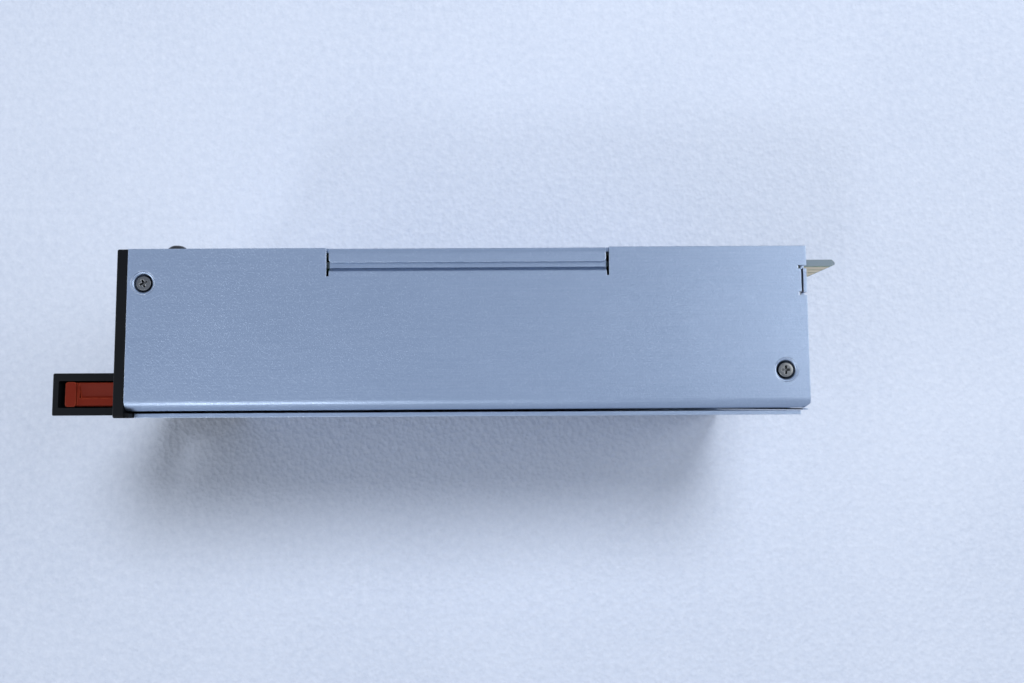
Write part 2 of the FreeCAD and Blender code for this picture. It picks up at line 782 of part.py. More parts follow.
# ---- mains inlet ----
def inlet_body():
    """Moulded inlet with a snap flange and a hollow for the mains plug."""
    sy, sz = inlet_size
    y0, y1 = inlet_y - sy / 2, inlet_y + sy / 2
    z0, z1 = inlet_z - sz / 2, inlet_z + sz / 2
    rim = along_x(rectangle(y0 - 0.8, y1 + 0.8, z0 - 0.7, z1 + 0.7, 2.0), -1.2, 0)
    body = box(-0.2, 22.0, y0, y1, z0, z1)
    wings = [
        along_z(((2.6, y0 - 0.9, 0), (7.5, y0 + 0.1, 0), (2.6, y0 + 0.1, 0)), 62.0, 74.0),
        along_z(((2.6, y1 + 0.3, 0), (7.5, y1 - 0.1, 0), (2.6, y1 - 0.1, 0)), 62.0, 72.0),
    ]
    cy, cz = cavity_size
    a0, a1 = inlet_y - cy / 2, inlet_y + cy / 2
    b0, b1 = inlet_z - cz / 2, inlet_z + cz / 2
    slant = 5.2
    hollow = along_x((
        (a0, b0 + slant, 0.8),
        (a0, b1 - slant, 0.8),
        (a0 + slant, b1, 0.8),
        (a1, b1, 1.2),
        (a1, b0, 1.2),
        (a0 + slant, b0, 0.8),
    ), -2, cavity_depth)
    cutters = [hollow]
    for y, z in blade_centres():
        cutters.append(box(10, 30, y - 2.0, y + 2.0, z - 1.0, z + 1.0))
    return without(joined([rim, body, *wings]), cutters)


def blade_centres():
    return ((inlet_y + 2.0, inlet_z - 7.0), (inlet_y + 2.0, inlet_z + 7.0), (inlet_y - 2.0, inlet_z))


def inlet_blades():
    """Three plated blades; each ends in a solder tab behind the body."""
    blades = []
    for y, z in blade_centres():
        blade = along_y((
            (0.6, z - 0.5, 0),
            (1.6, z - 1.0, 0),
            (22.0, z - 1.0, 0),
            (22.0, z - 0.4, 0),
            (28.5, z - 0.4, 0),
            (28.5, z + 0.4, 0),
            (22.0, z + 0.4, 0),
            (22.0, z + 1.0, 0),
            (1.6, z + 1.0, 0),
            (0.6, z + 0.5, 0),
        ), y - 2.0, y + 2.0)
        blades.append(blade)
    return group(blades)


def inlet_wires():
    """Insulated wires from the inlet's tabs to the board and to the earth lug."""
    live = wire_run(((24.6, 9.0, 77.4), (38.5, 9.0, 78.6), (38.5, 15.5, 79.0)), 1.1)
    neutral = wire_run(((24.6, 9.0, 59.4), (38.5, 9.0, 57.4), (38.5, 15.5, 56.9)), 1.1)
    earth = wire_run(((24.6, 5.0, 70.0), (33.5, 5.0, 72.3), (33.5, 16.6, 72.3)), 1.1)
    return group([live, neutral, earth])


def earth_lug():
    """Ring terminal under the nut, its crimp on the earth wire."""
    x, z = stud_at
    ring = rod_y(18.1, 18.9, x, z, 3.2)
    tongue = box(x - 1.2, x + 1.2, 18.1, 18.9, z + 0.8, z + 5.4)
    crimp = box(x - 1.3, x + 1.5, 16.85, 18.2, z + 2.8, z + 5.6)
    return joined([ring, tongue, crimp]).cut(rod_y(17, 20, x, z, stud_r + 0.05))


def earth_nut():
    x, z = stud_at
    angles = [k * math.pi / 3 for k in range(6)]
    corners = [(x + 3.1 * math.cos(a), z + 3.1 * math.sin(a), 0) for a in angles]
    return along_y(corners, 15.7, 18.05).cut(rod_y(15, 19, x, z, stud_r + 0.05))


def light_pipe():
    return rod_x(-0.4, 37.6, pipe_y, pipe_z, pipe_r)


def status_lamp():
    lens = rod_x(38.0, 40.5, pipe_y, pipe_z, 1.0)
    body = box(39.5, 42.3, 12.2, board_y[0], 2.0, 5.0)
    return joined([lens, body])


# ---- main board ----
def main_board():
    """Circuit board whose rear edge is the contact tongue."""
    y0, y1 = board_y
    deck = box(board_x[0], board_x[1], y0, y1, board_z[0], board_z[1])
    end = body_length + tongue_reach
    tongue = along_z((
        (board_x[1] - 1, y0, 0),
        (end - 2 * tongue_bevel, y0, 0),
        (end, y0 + tongue_bevel, 0),
        (end, y1 - tongue_bevel, 0),
        (end - 2 * tongue_bevel, y1, 0),
        (board_x[1] - 1, y1, 0),
    ), *tongue_z)
    corners = [
        along_y(((end - 1.0, z, 0), (end + 0.1, z, 0), (end + 0.1, z + way, 0)), y0 - 1, y1 + 1)
        for z, way in ((tongue_z[0], 1), (tongue_z[1], -1))
    ]
    key = along_y(rectangle(end - key_deep, end + 3, *key_z, 0.7), y0 - 1, y1 + 1)
    holes = [rod_y(y0 - 1, y1 + 1, x, z, post_hole_r) for x, z in standoff_at]
    return without(joined([deck, tongue]), [key, *corners, *holes])


def gold_fingers():
    """Plated pads on both faces of the tongue: narrow signal pads and wide power pads."""
    end = body_length + tongue_reach
    places = []
    for first, pitch, wide, count in (signal_pads, power_pads):
        places.extend((first + pitch * k, wide) for k in range(count))
    pads = []
    for y0 in (board_y[0] - plate_deep, board_y[1]):
        for z, wide in places:
            pads.append(box(end - 8.0, end - 1.4, y0, y0 + plate_deep, z, z + wide))
    return group(pads)


def board_standoffs():
    """Hollow posts between the board and the bottom plate."""
    posts = []
    for x, z in standoff_at:
        post = rod_y(board_y[1], plate_in, x, z, post_r)
        posts.append(post.cut(rod_y(board_y[1] - 1, plate_in + 1, x, z, post_bore_r)))
    return group(posts)


def board_screws():
    """Cheese-head screws with a cross slot, one in each post."""
    screws = []
    top = board_y[0] - board_screw_head
    for x, z in standoff_at:
        head = rod_y(top, board_y[0], x, z, post_r)
        head = head.makeChamfer(0.4, [edge for edge in head.Edges if edge.BoundBox.YMax < top + 0.01])
        shank = rod_y(board_y[0] - 0.1, plate_in - 0.2, x, z, board_screw_r)
        cross = [
            box(x - 1.3, x + 1.3, top - 1, top + 0.7, z - 0.28, z + 0.28),
            box(x - 0.28, x + 0.28, top - 1, top + 0.7, z - 1.3, z + 1.3),
        ]
        screws.append(head.fuse(shank).cut(cross))
    return group(screws)


def insulator_sheet():
    """Thin plastic sheet under the board, folded up beside the far wall."""
    low_y = plate_in - 0.2
    high_y = low_y - film_thick
    far_z = sheet + film_thick
    film = along_x((
        (low_y, 83.4, 0),
        (low_y, far_z, 0.5),
        (-4.0, far_z, 0),
        (-4.0, far_z + film_thick, 0),
        (high_y, far_z + film_thick, 0.25),
        (high_y, 83.4, 0),
    ), 37.0, 151.0)
    holes = [rod_y(18, 19, x, z, post_r + 0.2) for x, z in standoff_at]
    return without(film, holes)


def on_board(x0, x1, z0, z1, tall, lift=0.0, radius=0.0):
    """A block on the component side of the board, its upright edges rounded by the radius."""
    foot = board_y[0] - lift
    return along_y(rectangle(x0, x1, z0, z1, radius), foot - tall, foot)


def board_headers():
    """The fan's plug socket, and the comb that carries the control board."""
    socket = on_board(38.8, 43.0, 47.4, 52.0, 6.2)
    socket = socket.cut(box(38.0, 41.0, 11.0, 13.0, 48.0, 51.6))
    comb = on_board(142.4, 144.8, 9.5, 22.0, 6.0)
    slot_foot = board_y[0] - 1.0
    grooves = [box(142.0, 142.8, 8.0, slot_foot, z, z + 0.9) for z in (11.0, 13.2, 15.4, 17.6, 19.8)]
    return group([socket, without(comb, grooves)])


# ---- mains filter and rectifier ----
def line_fuse():
    """Cartridge fuse lying between two clips."""
    x, z = fuse_at
    y = board_y[0] - 4.4
    tube = rod_x(x - 7.4, x + 7.4, y, z, 2.5)
    caps = [rod_x(x + a, x + a + 4.5, y, z, 2.65) for a in (-10.0, 5.5)]
    clips = []
    for side in (-7.6, 7.6):
        clip = along_x((
            (y - 1.2, z - 3.0, 0.4),
            (y - 1.2, z + 3.0, 0.4),
            (board_y[0], z + 2.2, 0),
            (board_y[0], z - 2.2, 0),
        ), x + side - 1.2, x + side + 1.2)
        clips.append(clip.cut(rod_x(x - 12, x + 12, y, z, 2.6)))
    return joined([tube, *caps, *clips])


def ring_core(x, z, ring):
    """A ring that stands on the board: outer radius, inner radius, top and bottom."""
    r_out, r_in, y0, y1 = ring
    return rod_y(y0, y1, x, z, r_out).cut(rod_y(y0 - 1, y1 + 1, x, z, r_in))


def ring_winding(x, z, ring, start, sweep):
    """A winding that wraps the ring over part of a turn."""
    r_out, r_in, y0, y1 = ring
    wall = winding_wall
    air = 0.02
    outer = ring_core(x, z, (r_out + wall, r_in - wall, y0 - wall, y1 + wall))
    inner = ring_core(x, z, (r_out + air, r_in - air, y0 - air, y1 + air))
    reach = 2 * (r_out + wall + 2)
    covered = sweep < 180
    first, turned = (start, sweep) if covered else (start + sweep, 360 - sweep)
    wedge = [(x, z, 0)]
    for k in range(5):
        angle = math.radians(first + turned * k / 4)
        wedge.append((x + reach * math.cos(angle), z + reach * math.sin(angle), 0))
    slice_of_turn = along_y(wedge, y0 - wall - 1, y1 + wall + 1)
    coat = outer.cut(inner)
    return coat.common(slice_of_turn) if covered else coat.cut(slice_of_turn)


def choke_cores():
    return group([ring_core(x, z, choke_ring) for x, z in filter_chokes])


def choke_windings():
    """Two windings on each choke, facing each other."""
    return group([
        ring_winding(x, z, choke_ring, start, 144)
        for x, z in filter_chokes
        for start in (18, 198)
    ])


def film_capacitors():
    """Box capacitors across the line and after the bridge."""
    return group([
        on_board(45.0, 63.0, 8.6, 16.4, 15.0, radius=0.6),
        on_board(45.0, 63.0, 42.9, 50.9, 15.0, radius=0.6),
        on_board(101.0, 113.0, 50.2, 57.4, 14.0, radius=0.6),
    ])


def disc_capacitors():
    """Dipped discs, thicker at the middle, each standing on two leads."""
    discs = []
    y = board_y[0] - 6.6
    for z in (8.0, 19.0, 30.0):
        x = disc_x
        disc = rod_x(x - 1.5, x + 1.5, y, z, 3.9)
        disc = disc.makeChamfer(0.9, [edge for edge in disc.Edges if edge.BoundBox.XLength < 0.01])
        legs = [rod_y(board_y[0] - 4.0, board_y[0], x, z + side, 0.4) for side in (-2.0, 2.0)]
        discs.append(disc.fuse(legs))
    return group(discs)


def inrush_relay():
    case = on_board(67.5, 83.5, 70.4, 81.4, 15.5, 0.3, 0.7)
    pins = [on_board(x, x + 0.6, z, z + 1.0, 0.4) for x in (69.0, 81.0) for z in (71.6, 79.0)]
    return case.fuse(pins)


def bridge_rectifier():
    """Flat four-lead bridge standing across the air path, with one corner cut."""
    case = along_x((
        (12.3, 36.0, 0.5),
        (12.3, 62.0, 0.5),
        (-7.7, 62.0, 0.5),
        (-7.7, 39.0, 0),
        (-4.7, 36.0, 0),
    ), 70.6, 74.4)
    legs = [on_board(72.2, 73.0, z, z + 1.2, 3.6) for z in (39.0, 45.5, 52.0, 58.5)]
    return case.cut(rod_x(70, 75, 2.6, 49.0, 1.7)).fuse(legs)


def boost_core():
    return ring_core(*boost_at, boost_ring)


def boost_winding():
    return ring_winding(*boost_at, boost_ring, 12, 336)


def bulk_capacitor():
    """Large capacitor lying along the air path, its sleeve crimped near the sealed end."""
    x0, x1 = bulk_x
    y = board_y[0] - bulk_r - 0.6
    can = rod_x(x0, x1, y, bulk_z, bulk_r)
    rims = [edge for edge in can.Edges if edge.BoundBox.XLength < 0.01]
    can = can.makeChamfer(1.0, rims)
    groove = rod_x(x1 - 4.0, x1 - 2.6, y, bulk_z, bulk_r + 1)
    groove = groove.cut(rod_x(x1 - 5, x1, y, bulk_z, bulk_r - 0.6))
    plug = rod_x(x1 - 1.0, x1 + 0.6, y, bulk_z, bulk_r - 2.4)
    return can.cut(groove).fuse(plug)


def finned_sink(x0, x1):
    """Extruded sink: a flat back, fins that run with the air, and two feet on the board."""
    face_z, back_z, tip_z = sink_z
    y0, y1 = sink_y
    back = box(x0, x1, y0, y1, face_z, back_z)
    pitch = (y1 - y0 - fin_thick) / (fin_count - 1)
    fins = [
        along_x(rectangle(y0 + pitch * k, y0 + pitch * k + fin_thick, back_z - 1, tip_z, 0.5), x0, x1)
        for k in range(fin_count)
    ]
    feet = [
        box(x, x + 2.0, y1 - 0.6, board_y[0], face_z + 0.4, back_z - 0.4)
        for x in (x0 + 1.0, x1 - 3.0)
    ]
    return joined([back, *fins, *feet])


def primary_sink():
    return finned_sink(*primary_sink_x)


def clamped_package(x0, wide, thick, y0, y1, legs):
    """A moulded package with a screw hole, flat against a sink, on its row of legs."""
    face = sink_z[0] - 0.05
    body = along_z(rectangle(x0, x0 + wide, y0, y1, 0.6), face - thick, face)
    hole = rod_z(face - thick - 1, face + 1, x0 + wide / 2, y0 + 4.6, 1.6)
    pitch = wide / legs
    rows = [
        box(x - 0.55, x + 0.55, y1 - 0.5, board_y[0], face - thick / 2 - 0.35, face - thick / 2 + 0.35)
        for x in (x0 + pitch * (k + 0.5) for k in range(legs))
    ]
    return body.cut(hole).fuse(rows)


def power_transistors():
    return group([clamped_package(x, 15.6, 4.6, -8.0, 12.0, 3) for x in (86.2, 102.2)])


# ---- isolating and output stages ----
def transformer_core():
    """Ferrite core in two halves, each with a round centre leg, and a gap between them."""
    x, z = transformer_at
    halves = []
    for y0, y1, open_side in ((-12.5, 0.95, 1), (1.0, 14.4, -1)):
        half = box(x - 12.5, x + 12.5, y0, y1, z - 16.0, z + 16.0)
        inside = (y0 + 4.6, y1 + 1) if open_side > 0 else (y0 - 1, y1 - 4.6)
        window = box(x - 14, x + 14, *inside, z - 11.5, z + 11.5)
        leg = rod_y(inside[0], y1, x, z, 6.2) if open_side > 0 else rod_y(y0, inside[1], x, z, 6.2)
        halves.append(joined([half.cut(window), leg]))
    return group(halves)


def transformer_winding():
    """Wound bobbin round the centre leg, with its pin rows."""
    x, z = transformer_at
    coil = rod_y(-6.6, 8.6, x, z, 11.0)
    flanges = [rod_y(y, y + 1.0, x, z, 11.3) for y in (-7.6, 8.6)]
    rows = []
    for side in (-1, 1):
        edge = sorted((x + side * 9.5, x + side * 15.0))
        row_block = box(edge[0], edge[1], 7.6, board_y[0], z - 10.0, z + 10.0)
        rows.append(row_block.cut(box(x - 12.6, x + 12.6, 9.7, 16, z - 17, z + 17)))
    return joined([coil, *flanges, *rows]).cut(rod_y(-9, 11, x, z, 6.3))


def standby_transformer():
    """Small transformer: core round a taped coil on a bobbin foot."""
    core = on_board(122.0, 136.0, 11.0, 24.0, 12.0, 1.0, 0.4)
    coil = on_board(120.4, 137.6, 13.4, 21.6, 10.0, 2.1, 2.4)
    foot = on_board(120.4, 137.6, 13.4, 21.6, 2.2)
    return joined([core, coil, foot])


def resonant_parts():
    """Series inductor beside the transformer: a taped coil in a gapped core."""
    core = on_board(101.5, 114.5, 36.0, 48.6, 14.0, 0.6, 0.4)
    coil = on_board(103.4, 112.6, 34.4, 50.0, 8.6, 3.2, 2.4)
    return joined([core, coil])


def output_sink():
    return finned_sink(*output_sink_x)


def output_rectifiers():
    """Flat packages clamped to the output sink."""
    return group([clamped_package(x, 6.8, 4.3, -4.0, 11.4, 2) for x in (122.6, 130.6, 138.6)])


def output_choke():
    """Round choke standing on two thick leads."""
    x, z = output_choke_at
    core = rod_y(4.0, 14.0, x, z, 6.6)
    core = core.makeChamfer(1.0, [edge for edge in core.Edges if edge.BoundBox.YLength < 0.01])
    legs = [rod_y(13.0, board_y[0], x + side, z, 0.8) for side in (-4.6, 4.6)]
    return core.cut(rod_y(3, 15, x, z, 2.8)).fuse(legs)


def output_capacitors():
    """A row of cans across the rear of the board."""
    cans = []
    foot = board_y[0] - 0.2
    for k in range(output_can_count):
        can = rod_y(foot - output_can_tall, foot, output_can_x, output_can_z + output_can_pitch * k, 4.0)
        rim = [edge for edge in can.Edges if edge.BoundBox.YMax < foot - output_can_tall + 0.1]
        cans.append(can.makeChamfer(0.5, rim))
    return group(cans)


def bus_bars():
    """Two copper strips on edge, standing on feet, one of them with a bolt hole."""
    foot = board_y[0]
    cross_bar = along_x(rectangle(foot - 6.0, foot - 1.4, 22.0, 56.0, 0.8), 148.2, 149.8)
    cross_feet = [box(148.2, 149.8, foot - 2.4, foot, z, z + 3.0) for z in (22.8, 37.5, 52.2)]
    side_bar = along_z(rectangle(146.2, 160.9, foot - 9.0, foot - 1.4, 1.2), 78.4, 80.0)
    side_feet = [box(x, x + 3.0, foot - 3.0, foot, 78.4, 80.0) for x in (147.4, 156.7)]
    side_bar = side_bar.cut(rod_z(78, 81, 153.5, foot - 5.6, 1.6))
    return group([joined([cross_bar, *cross_feet]), joined([side_bar, *side_feet])])


def control_board():
    return on_board(*control_x, *control_z, 24.0)


def control_chips():
    """Chips on the upright control board."""
    face = control_z[1]
    chips = []
    for x, y, wide, tall in control_chip_places:
        chips.append(along_z(rectangle(x, x + wide, y, y + tall, 0.25), face, face + 1.3))
    return group(chips)


# ---- write every piece ----
makers = (
    chassis_shell, side_cover, rear_panel, front_bezel, pull_handle, release_bar,
    release_link, link_rivet, latch_hook, latch_pin, latch_spring, wall_screws, bezel_screw,
    fan_frame, fan_rotor, fan_magnet, fan_shaft, fan_bearings, fan_stator, fan_screws, fan_lead,
    inlet_body, inlet_blades, inlet_wires, earth_lug, earth_nut, light_pipe, status_lamp,
    main_board, gold_fingers, board_standoffs, board_screws, insulator_sheet, board_headers,
    line_fuse, choke_cores, choke_windings, film_capacitors, disc_capacitors, inrush_relay,
    bridge_rectifier, boost_core, boost_winding, bulk_capacitor, primary_sink, power_transistors,
    transformer_core, transformer_winding, standby_transformer, resonant_parts,
    output_sink, output_rectifiers, output_choke, output_capacitors, bus_bars,
    control_board, control_chips,
)

os.makedirs("parts", exist_ok=True)
for make in makers:
    to_row(make()).exportStep("parts/" + make.__name__ + ".step")
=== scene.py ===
import json
import math
import bmesh
import bpy
from mathutils import Matrix, Vector


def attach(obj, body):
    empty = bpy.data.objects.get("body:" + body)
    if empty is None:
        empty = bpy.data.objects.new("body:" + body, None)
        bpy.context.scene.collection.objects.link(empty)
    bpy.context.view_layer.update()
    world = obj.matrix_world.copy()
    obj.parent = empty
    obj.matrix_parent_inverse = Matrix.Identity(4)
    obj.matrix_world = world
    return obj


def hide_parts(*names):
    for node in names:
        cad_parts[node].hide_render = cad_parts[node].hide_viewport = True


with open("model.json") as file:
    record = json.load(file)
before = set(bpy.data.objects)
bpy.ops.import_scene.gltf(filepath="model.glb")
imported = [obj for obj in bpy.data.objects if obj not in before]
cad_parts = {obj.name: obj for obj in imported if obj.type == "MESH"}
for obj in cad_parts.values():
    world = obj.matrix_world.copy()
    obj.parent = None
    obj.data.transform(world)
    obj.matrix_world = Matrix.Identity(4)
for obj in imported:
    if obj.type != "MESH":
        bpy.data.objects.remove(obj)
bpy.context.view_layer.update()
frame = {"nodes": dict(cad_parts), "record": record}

MM = 0.001
nodes = frame["nodes"]

# Places and sizes in the module's own millimetres: back from the bezel's face, from
# mid-height towards the bottom plate, and up from the wall it lies on.
FAN = (0.8, 35.8)
FAN_SCREW_SPACING = 15.25
# Radius and height of a rolled dimple, from the wall's face down, back out and up again.
DIMPLE_PROFILE = (
    (2.62, 0.24), (2.4, 0.14), (2.24, -0.02), (2.14, -0.25), (2.12, -0.4), (2.26, -0.4),
    (2.84, 0.27),
)
SPRING = (10.0, 15.2, 11.05)
SPRING_RADIUS = 2.35
SPRING_WIRE = 0.2
SPRING_TURNS = 3.75
SPRING_PITCH = 0.46
BEZEL_SCREW = (11.2, 20.0, 78.0)
FUSE_OFFSET = 23.9
FUSE_CAP_START = 5.4
MODULE_WIDTH = 86.0
# Each wall screw: place of its head, way it faces, length and turn in degrees.
WALL_SCREWS = (
    ((6.3, 11.8, 85.7), 1, 3.6, 20),
    ((158.0, -9.5, 85.7), 1, 5.5, 0),
    ((6.3, -2.0, 0.3), -1, 6.5, 35),
    ((158.0, -9.5, 0.3), -1, 5.5, 10),
)


def at(x, y, z):
    """A point of the module in the row frame, in metres."""
    return Vector(((x - 76.9) * MM, (y - 1.15) * MM, z * MM))


# ---- modelling helpers ----
def nothing_selected():
    bpy.ops.object.select_all(action="DESELECT")


def pick(piece):
    nothing_selected()
    piece.select_set(True)
    bpy.context.view_layer.objects.active = piece


def edit(piece, element="FACE"):
    """Opens the piece for editing with nothing selected."""
    pick(piece)
    bpy.ops.object.mode_set(mode="EDIT")
    bpy.ops.mesh.select_mode(type=element)
    bpy.ops.mesh.select_all(action="DESELECT")
    return bmesh.from_edit_mesh(piece.data)


def choose(piece, shape, kind, test):
    """Selects the faces, edges or vertices that pass the test."""
    for part in getattr(shape, kind):
        part.select_set(False)
    for part in getattr(shape, kind):
        if test(part):
            part.select_set(True)
    shape.select_flush_mode()
    bmesh.update_edit_mesh(piece.data)


def done(piece, smooth=35):
    bpy.ops.object.mode_set(mode="OBJECT")
    pick(piece)
    bpy.ops.object.transform_apply(location=True, rotation=True, scale=True)
    if smooth:
        bpy.ops.object.shade_smooth_by_angle(angle=math.radians(smooth))
    return piece


def apply_all(piece):
    pick(piece)
    for modifier in list(piece.modifiers):
        bpy.ops.object.modifier_apply(modifier=modifier.name)


def copied(piece, matrix, name):
    """A copy with its own mesh, moved by the matrix."""
    twin = bpy.data.objects.new(name, piece.data.copy())
    bpy.context.collection.objects.link(twin)
    twin.data.transform(matrix)
    return twin


def one_piece(pieces, name):
    nothing_selected()
    for piece in pieces:
        piece.select_set(True)
    bpy.context.view_layer.objects.active = pieces[0]
    if len(pieces) > 1:
        bpy.ops.object.join()
    pieces[0].name = name
    pieces[0].data.name = name
    return pieces[0]


def outward(piece):
    """Merges doubled points and turns every face outwards."""
    bpy.ops.object.mode_set(mode="OBJECT")
    edit(piece, "VERT")
    bpy.ops.mesh.select_all(action="SELECT")
    bpy.ops.mesh.remove_doubles(threshold=0.000005)
    bpy.ops.mesh.normals_make_consistent(inside=False)
    bpy.ops.object.mode_set(mode="OBJECT")


def cut_away(piece, cutter):
    modifier = piece.modifiers.new("cut", "BOOLEAN")
    modifier.operation = "DIFFERENCE"
    modifier.solver = "EXACT"
    modifier.object = cutter
    apply_all(piece)
    bpy.data.objects.remove(cutter, do_unlink=True)


def cross_bit(width, thick, deep):
    """The pointed cross of a screwdriver, tip down, its top level with the origin."""
    wings = []
    for turn in (0, 90):
        bpy.ops.mesh.primitive_cube_add(size=1, location=(0, 0, -deep / 2 + 0.0002))
        wing = bpy.context.object
        wing.scale = (width, thick, deep + 0.0004)
        done(wing, 0)
        shape = edit(wing)
        choose(wing, shape, "faces", lambda f: f.normal.z < -0.9)
        bpy.ops.transform.resize(value=(0.42, 0.6, 1))
        bpy.ops.object.mode_set(mode="OBJECT")
        wing.data.transform(Matrix.Rotation(math.radians(turn), 4, "Z"))
        wings.append(wing)
    union = wings[0].modifiers.new("both", "BOOLEAN")
    union.operation = "UNION"
    union.object = wings[1]
    apply_all(wings[0])
    bpy.data.objects.remove(wings[1], do_unlink=True)
    return wings[0]


# ---- screws ----
def sunk_screw(length, head, side, neck, shank):
    """A countersunk cross-head screw pointing down from the origin; side is its upright rim."""
    bpy.ops.mesh.primitive_cylinder_add(
        vertices=40, radius=head * MM, depth=side * MM, location=(0, 0, -side / 2 * MM)
    )
    screw = bpy.context.object
    done(screw, 0)
    shape = edit(screw)
    choose(screw, shape, "faces", lambda f: f.normal.z < -0.9)
    bpy.ops.mesh.extrude_region_move(TRANSFORM_OT_translate={"value": (0, 0, -0.42 * MM)})
    bpy.ops.transform.resize(value=(neck / head, neck / head, 1))
    bpy.ops.mesh.inset(thickness=(neck - shank) * MM)
    shaft = length - side - 0.92
    bpy.ops.mesh.extrude_region_move(TRANSFORM_OT_translate={"value": (0, 0, -shaft * MM)})
    bpy.ops.mesh.extrude_region_move(TRANSFORM_OT_translate={"value": (0, 0, -0.5 * MM)})
    bpy.ops.transform.resize(value=(0.62, 0.62, 1))
    choose(screw, shape, "faces", lambda f: f.normal.z > 0.9)
    bpy.ops.mesh.bevel(offset=0.16 * MM, segments=3, affect="EDGES")
    bpy.ops.object.mode_set(mode="OBJECT")
    cut_away(screw, cross_bit(1.4 * head * MM, 0.36 * head * MM, 0.95 * MM))
    return done(screw, 30)


def wall_screw_set():
    """The four sunk screws in the two side walls."""
    pieces = []
    for (x, y, z), way, length, turn in WALL_SCREWS:
        screw = sunk_screw(length, head=1.74, side=0.78, neck=1.5, shank=1.4)
        flip = Matrix.Rotation(0 if way > 0 else math.pi, 4, "X")
        spin = Matrix.Rotation(math.radians(turn), 4, "Z")
        screw.data.transform(Matrix.Translation(at(x, y, z)) @ flip @ spin)
        pieces.append(screw)
    return one_piece(pieces, "cross_head_wall_screws")


def dimple_rims():
    """The metal rolled in round each wall screw's head."""
    pieces = []
    for (x, y, z), way, _, _ in WALL_SCREWS:
        bpy.ops.mesh.primitive_circle_add(
            vertices=64, radius=2.84 * MM, location=(0, 0, 0.27 * MM)
        )
        rim = bpy.context.object
        done(rim, 0)
        edit(rim, "EDGE")
        bpy.ops.mesh.select_all(action="SELECT")
        radius, height = 2.84, 0.27
        for r, h in DIMPLE_PROFILE:
            drop = (0, 0, (h - height) * MM)
            grow = (r / radius, r / radius, 1)
            bpy.ops.mesh.extrude_region_move(TRANSFORM_OT_translate={"value": drop})
            bpy.ops.transform.resize(value=grow, center_override=(0, 0, h * MM))
            radius, height = r, h
        outward(rim)
        flip = Matrix.Rotation(0 if way > 0 else math.pi, 4, "X")
        rim.data.transform(Matrix.Translation(at(x, y, z)) @ flip)
        pieces.append(rim)
    return done(one_piece(pieces, "rolled_dimple_rims"), 40)


def fan_screw_set():
    """The four screws that hold the fan to the bezel."""
    pieces = []
    for number, (a, b) in enumerate(((-1, -1), (-1, 1), (1, -1), (1, 1))):
        screw = sunk_screw(8.9, head=2.7, side=0.35, neck=1.9, shank=1.3)
        aim = Matrix.Rotation(-math.pi / 2, 4, "Y") @ Matrix.Rotation(0.4 * number, 4, "Z")
        place = at(0.1, FAN[0] + a * FAN_SCREW_SPACING, FAN[1] + b * FAN_SCREW_SPACING)
        screw.data.transform(Matrix.Translation(place) @ aim)
        pieces.append(screw)
    return one_piece(pieces, "cross_head_fan_screws")


def dome_screw():
    """The bezel's domed screw, pointing down, its seat at the origin."""
    bpy.ops.mesh.primitive_cylinder_add(
        vertices=48, radius=2.5 * MM, depth=0.9 * MM, location=(0, 0, 0.45 * MM)
    )
    screw = bpy.context.object
    done(screw, 0)
    shape = edit(screw)
    choose(screw, shape, "faces", lambda f: f.normal.z > 0.9)
    for rise, grow in ((0.55, 0.88), (0.4, 0.8), (0.25, 0.72), (0.12, 0.6)):
        bpy.ops.mesh.extrude_region_move(TRANSFORM_OT_translate={"value": (0, 0, rise * MM)})
        bpy.ops.transform.resize(value=(grow, grow, 1))
    choose(screw, shape, "faces", lambda f: f.normal.z < -0.9)
    bpy.ops.mesh.inset(thickness=1.1 * MM)
    bpy.ops.mesh.extrude_region_move(TRANSFORM_OT_translate={"value": (0, 0, -2.6 * MM)})
    bpy.ops.object.mode_set(mode="OBJECT")
    bit = cross_bit(2.9 * MM, 0.7 * MM, 1.3 * MM)
    bit.data.transform(Matrix.Translation((0, 0, 2.25 * MM)))
    cut_away(screw, bit)
    aim = Matrix.Translation(at(*BEZEL_SCREW)) @ Matrix.Rotation(-math.pi / 2, 4, "X")
    screw.data.transform(aim)
    done(screw, 40)
    screw.name = "domed_bezel_screw"
    return screw


# ---- catch spring ----
def spring_coil():
    """The torsion spring's coil round the latch pin, with the leg that rests against the bezel."""
    bpy.ops.mesh.primitive_circle_add(
        vertices=10, radius=SPRING_WIRE * MM, rotation=(0, math.pi / 2, 0),
        location=(0, -SPRING_RADIUS * MM, 0),
    )
    coil = bpy.context.object
    done(coil, 0)
    turns = coil.modifiers.new("turns", "SCREW")
    turns.axis = "Z"
    turns.angle = SPRING_TURNS * 2 * math.pi
    turns.screw_offset = SPRING_TURNS * SPRING_PITCH * MM
    turns.steps = turns.render_steps = 105
    apply_all(coil)
    shape = edit(coil, "EDGE")
    choose(coil, shape, "edges", lambda e: e.is_boundary and e.verts[0].co.z > 1.2 * MM)
    bpy.ops.mesh.edge_face_add()
    choose(coil, shape, "edges", lambda e: e.is_boundary)
    bpy.ops.mesh.extrude_region_move(TRANSFORM_OT_translate={"value": (-7.1 * MM, 0, 0)})
    bpy.ops.mesh.edge_face_add()
    outward(coil)
    coil.data.transform(Matrix.Translation(at(*SPRING)))
    coil.name = "catch_spring_coil"
    return done(coil, 60)


